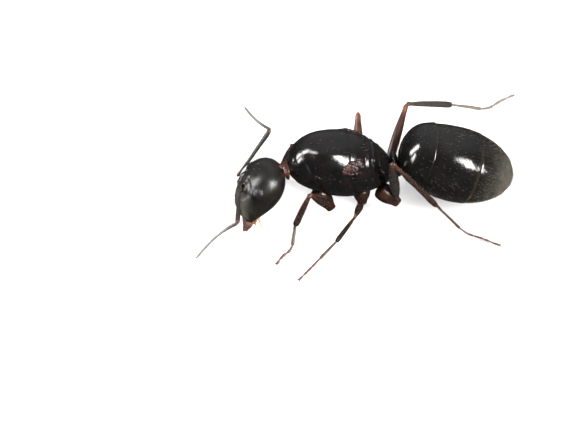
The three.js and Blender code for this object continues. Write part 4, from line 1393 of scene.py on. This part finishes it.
legPlaces = {}
for side, _ in bothSides:
    for pair in ("front", "mid", "hind"):
        legPlaces[side, pair] = measureLeg(side, pair)
        makeLeg(side, pair, *legPlaces[side, pair])
print("legs ready")

# Hairs.

hairSet = {  # on: hairs, length, half thickness, lean back, bend
    "pronotum": (22, 0.15, 0.0035, 0.5, 0.25),
    "mesoscutum": (26, 0.15, 0.0035, 0.5, 0.25),
    "scutellum": (18, 0.18, 0.004, 0.4, 0.3),
    "mesopleura": (50, 0.1, 0.0032, 0.8, 0.3),
    "propodeum": (50, 0.14, 0.0038, 0.6, 0.3),
    "head_capsule": (420, 0.09, 0.0035, 0.9, 0.3),
    "clypeus": (40, 0.2, 0.006, 0.6, 0.3),
    "gaster_1": (90, 0.14, 0.0035, 1.1, 0.3),
    "gaster_2": (520, 0.14, 0.0037, 1.2, 0.3),
    "gaster_3": (800, 0.15, 0.0042, 1.1, 0.3),
    "gaster_4": (800, 0.16, 0.005, 0.9, 0.3),
    "gaster_5": (420, 0.18, 0.0055, 0.7, 0.3),
    "limbs": (150, 0.09, 0.0045, 1.0, 0.25),
    "feet": (170, 0.1, 0.005, 0.9, 0.2),
}
hairPatch = 0.003  # size of a hair's place on the unwrap


def hairTree():
    make, given = geometryTree("scatteredHairs", {
        "Skin": "Geometry", "Hairs": "Int", "Length": "Float", "Half Thickness": "Float", "Lean": "Float",
        "Bend": "Float", "Seed": "Int", "Finish": "Material"})

    def named(name, kind):
        return make.geo("InputNamedAttribute", {"data_type": kind}, Name=name).outputs["Attribute"]

    def kept(source, name, value, kind):
        settings = {"data_type": kind, "domain": "POINT"}
        return make.geo("StoreNamedAttribute", settings, Geometry=source, Name=name, Value=value).outputs[0]

    def randomNode(kind, seed, place, low, high):
        return make.node("FunctionNodeRandomValue", {"data_type": kind}, Seed=seed,
                         **{f"i{place}": low, f"i{place + 1}": high})

    def allTimes(*values):
        product = values[0]
        for value in values[1:]:
            product = make.times(product, value)
        return product

    cover = named("cover", "FLOAT")
    area = make.geo("InputMeshFaceArea").outputs[0]
    total = make.geo("AttributeStatistic", {"domain": "FACE"}, Geometry=given["Skin"],
                     Attribute=make.times(area, cover)).outputs["Sum"]
    density = make.times(make.math("DIVIDE", given["Hairs"], total), cover)
    roots = make.geo("DistributePointsOnFaces", {"distribute_method": "RANDOM"}, Mesh=given["Skin"],
                     Density=density, Seed=given["Seed"])
    normal = roots.outputs["Normal"]
    combed = named("combed", "FLOAT_VECTOR")
    flat = make.vector("NORMALIZE", make.vector("SUBTRACT", combed, make.vector("PROJECT", combed, normal)))
    stray = randomNode("FLOAT_VECTOR", 3, 0, (-0.35, -0.35, -0.35), (0.35, 0.35, 0.35)).outputs[0]
    leaning = make.vector("ADD", normal, make.scaled(flat, given["Lean"]))
    way = make.vector("NORMALIZE", make.vector("ADD", leaning, stray))
    size = make.times(given["Length"], randomNode("FLOAT", 5, 2, 0.6, 1.3).outputs[1])
    points = kept(roots.outputs["Points"], "way", way, "FLOAT_VECTOR")
    points = kept(points, "sag", flat, "FLOAT_VECTOR")
    points = kept(points, "size", size, "FLOAT")
    points = kept(points, "spot", make.geo("InputPosition").outputs[0], "FLOAT_VECTOR")

    line = make.geo("CurvePrimitiveLine", None, Start=(0, 0, 0), End=(0, 0, 1))
    fine = make.geo("ResampleCurve", None, Curve=line.outputs[0], Count=4)
    ring = make.geo("CurvePrimitiveCircle", None, Resolution=3, Radius=1.0)
    tube = make.geo("CurveToMesh", None, Curve=fine.outputs[0],
                    **{"Profile Curve": ring.outputs["Curve"], "Fill Caps": True})
    stood = make.geo("InstanceOnPoints", None, Points=points, Instance=tube.outputs[0])
    whole = make.geo("RealizeInstances", None, Geometry=stood.outputs[0])

    # Each prism stands at its root, a unit tall and a unit thick; here it becomes a thin bent hair.
    spot = named("spot", "FLOAT_VECTOR")
    inside = make.vector("SUBTRACT", make.geo("InputPosition").outputs[0], spot)
    parts = make.node("ShaderNodeSeparateXYZ", None, i0=inside)
    share = parts.outputs["Z"]
    direction = named("way", "FLOAT_VECTOR")
    across = make.vector("NORMALIZE", make.vector("CROSS_PRODUCT", direction, (0.31, 0.52, 0.79)))
    athwart = make.vector("CROSS_PRODUCT", direction, across)
    thin = make.times(make.minus(1.06, share), given["Half Thickness"])
    size = named("size", "FLOAT")
    rise = make.scaled(direction, make.times(make.minus(share, 0.06), size))
    droop = make.scaled(named("sag", "FLOAT_VECTOR"), allTimes(share, share, size, given["Bend"]))
    one = make.scaled(across, make.times(parts.outputs["X"], thin))
    two = make.scaled(athwart, make.times(parts.outputs["Y"], thin))
    bent = make.vector("ADD", spot, make.vector("ADD", rise, droop))
    moved = make.vector("ADD", bent, make.vector("ADD", one, two))
    hair = make.geo("SetPosition", None, Geometry=whole.outputs[0], Position=moved)
    return finishTree(make, hair.outputs[0], given["Finish"])


def placeOnSkin(spots, points):  # cylinder unwrap round the skin's own longest direction
    middle = points.mean(0)
    axes = np.linalg.svd(points - middle, full_matrices=False)[2]
    local = (spots - middle) @ axes.T
    whole = (points - middle) @ axes[0]
    along = (local[:, 0] - whole.min()) / np.ptp(whole)
    turn = np.arctan2(local[:, 2], local[:, 1]) / (2 * math.pi) + 0.5
    return np.stack([0.01 + 0.98 * turn, 0.01 + 0.98 * along], axis=1)


def unwrapHairs(mesh, spots, points):  # each hair's faces share one small patch at its root's place
    offset = readOut(mesh.vertices, "co", 3) - spots * mm
    offset /= np.abs(offset).max()
    coords = placeOnSkin(spots, points) + offset[:, [0, 2]] * hairPatch / 2
    corners = readOut(mesh.loops, "vertex_index", kind=np.int32)
    layer = mesh.uv_layers.new(name="OFBake")
    layer.data.foreach_set("uv", np.clip(coords[corners], 0, 1).astype(np.float32).ravel())


hairNodes = hairTree()


def growHairs(skin, setting, cover, combed, seed):
    points, faces, slotName = shown[skin]
    number, long, half, lean, bend = setting
    combed = np.broadcast_to(combed, points.shape)
    result = runTree(hairNodes, meshOf("work", points, faces), {
        "Hairs": number, "Length": long, "Half Thickness": half, "Lean": lean, "Bend": bend, "Seed": seed,
        "Finish": finishes["setaGold"]}, {"cover": cover, "combed": combed})
    spots = readOut(result.attributes["spot"].data, "vector", 3).astype(float)
    piece = addPiece(f"hairs_{skin}", arraysOf(result), "setaGold", slotName)
    unwrapHairs(piece.data, spots, points)


for number, plate in enumerate((*trunkNodes, "head_capsule", "clypeus")):
    combed = trunkAxes[0] if plate in trunkNodes else -headAxes[0]
    cover = np.clip(outerShare[plate], 0, 1)
    if plate == "head_capsule":  # thinner towards the back of the head
        cover = cover * (0.35 + 0.65 * smoothStep(headPlace(shown[plate][0])[0], -1.5, 0.8))
    growHairs(plate, hairSet[plate], cover, combed, 11 + number)
for number, plate in enumerate(gasterNodes):
    growHairs(plate, hairSet[plate], gasterCover[plate], gasterAxis, 31 + number)
for (side, pair), (hip, knee, ankle, foot, across) in legPlaces.items():
    for part, ahead, kind in (("femur", knee - hip, "limbs"), ("tibia", ankle - knee, "limbs"),
                              ("tarsus", foot[-1] - ankle, "feet")):
        skin = f"{part}_{side}_{pair}"
        growHairs(skin, hairSet[kind], np.ones(len(shown[skin][0])), unit(ahead), 51 + len(part))
print("hairs ready")
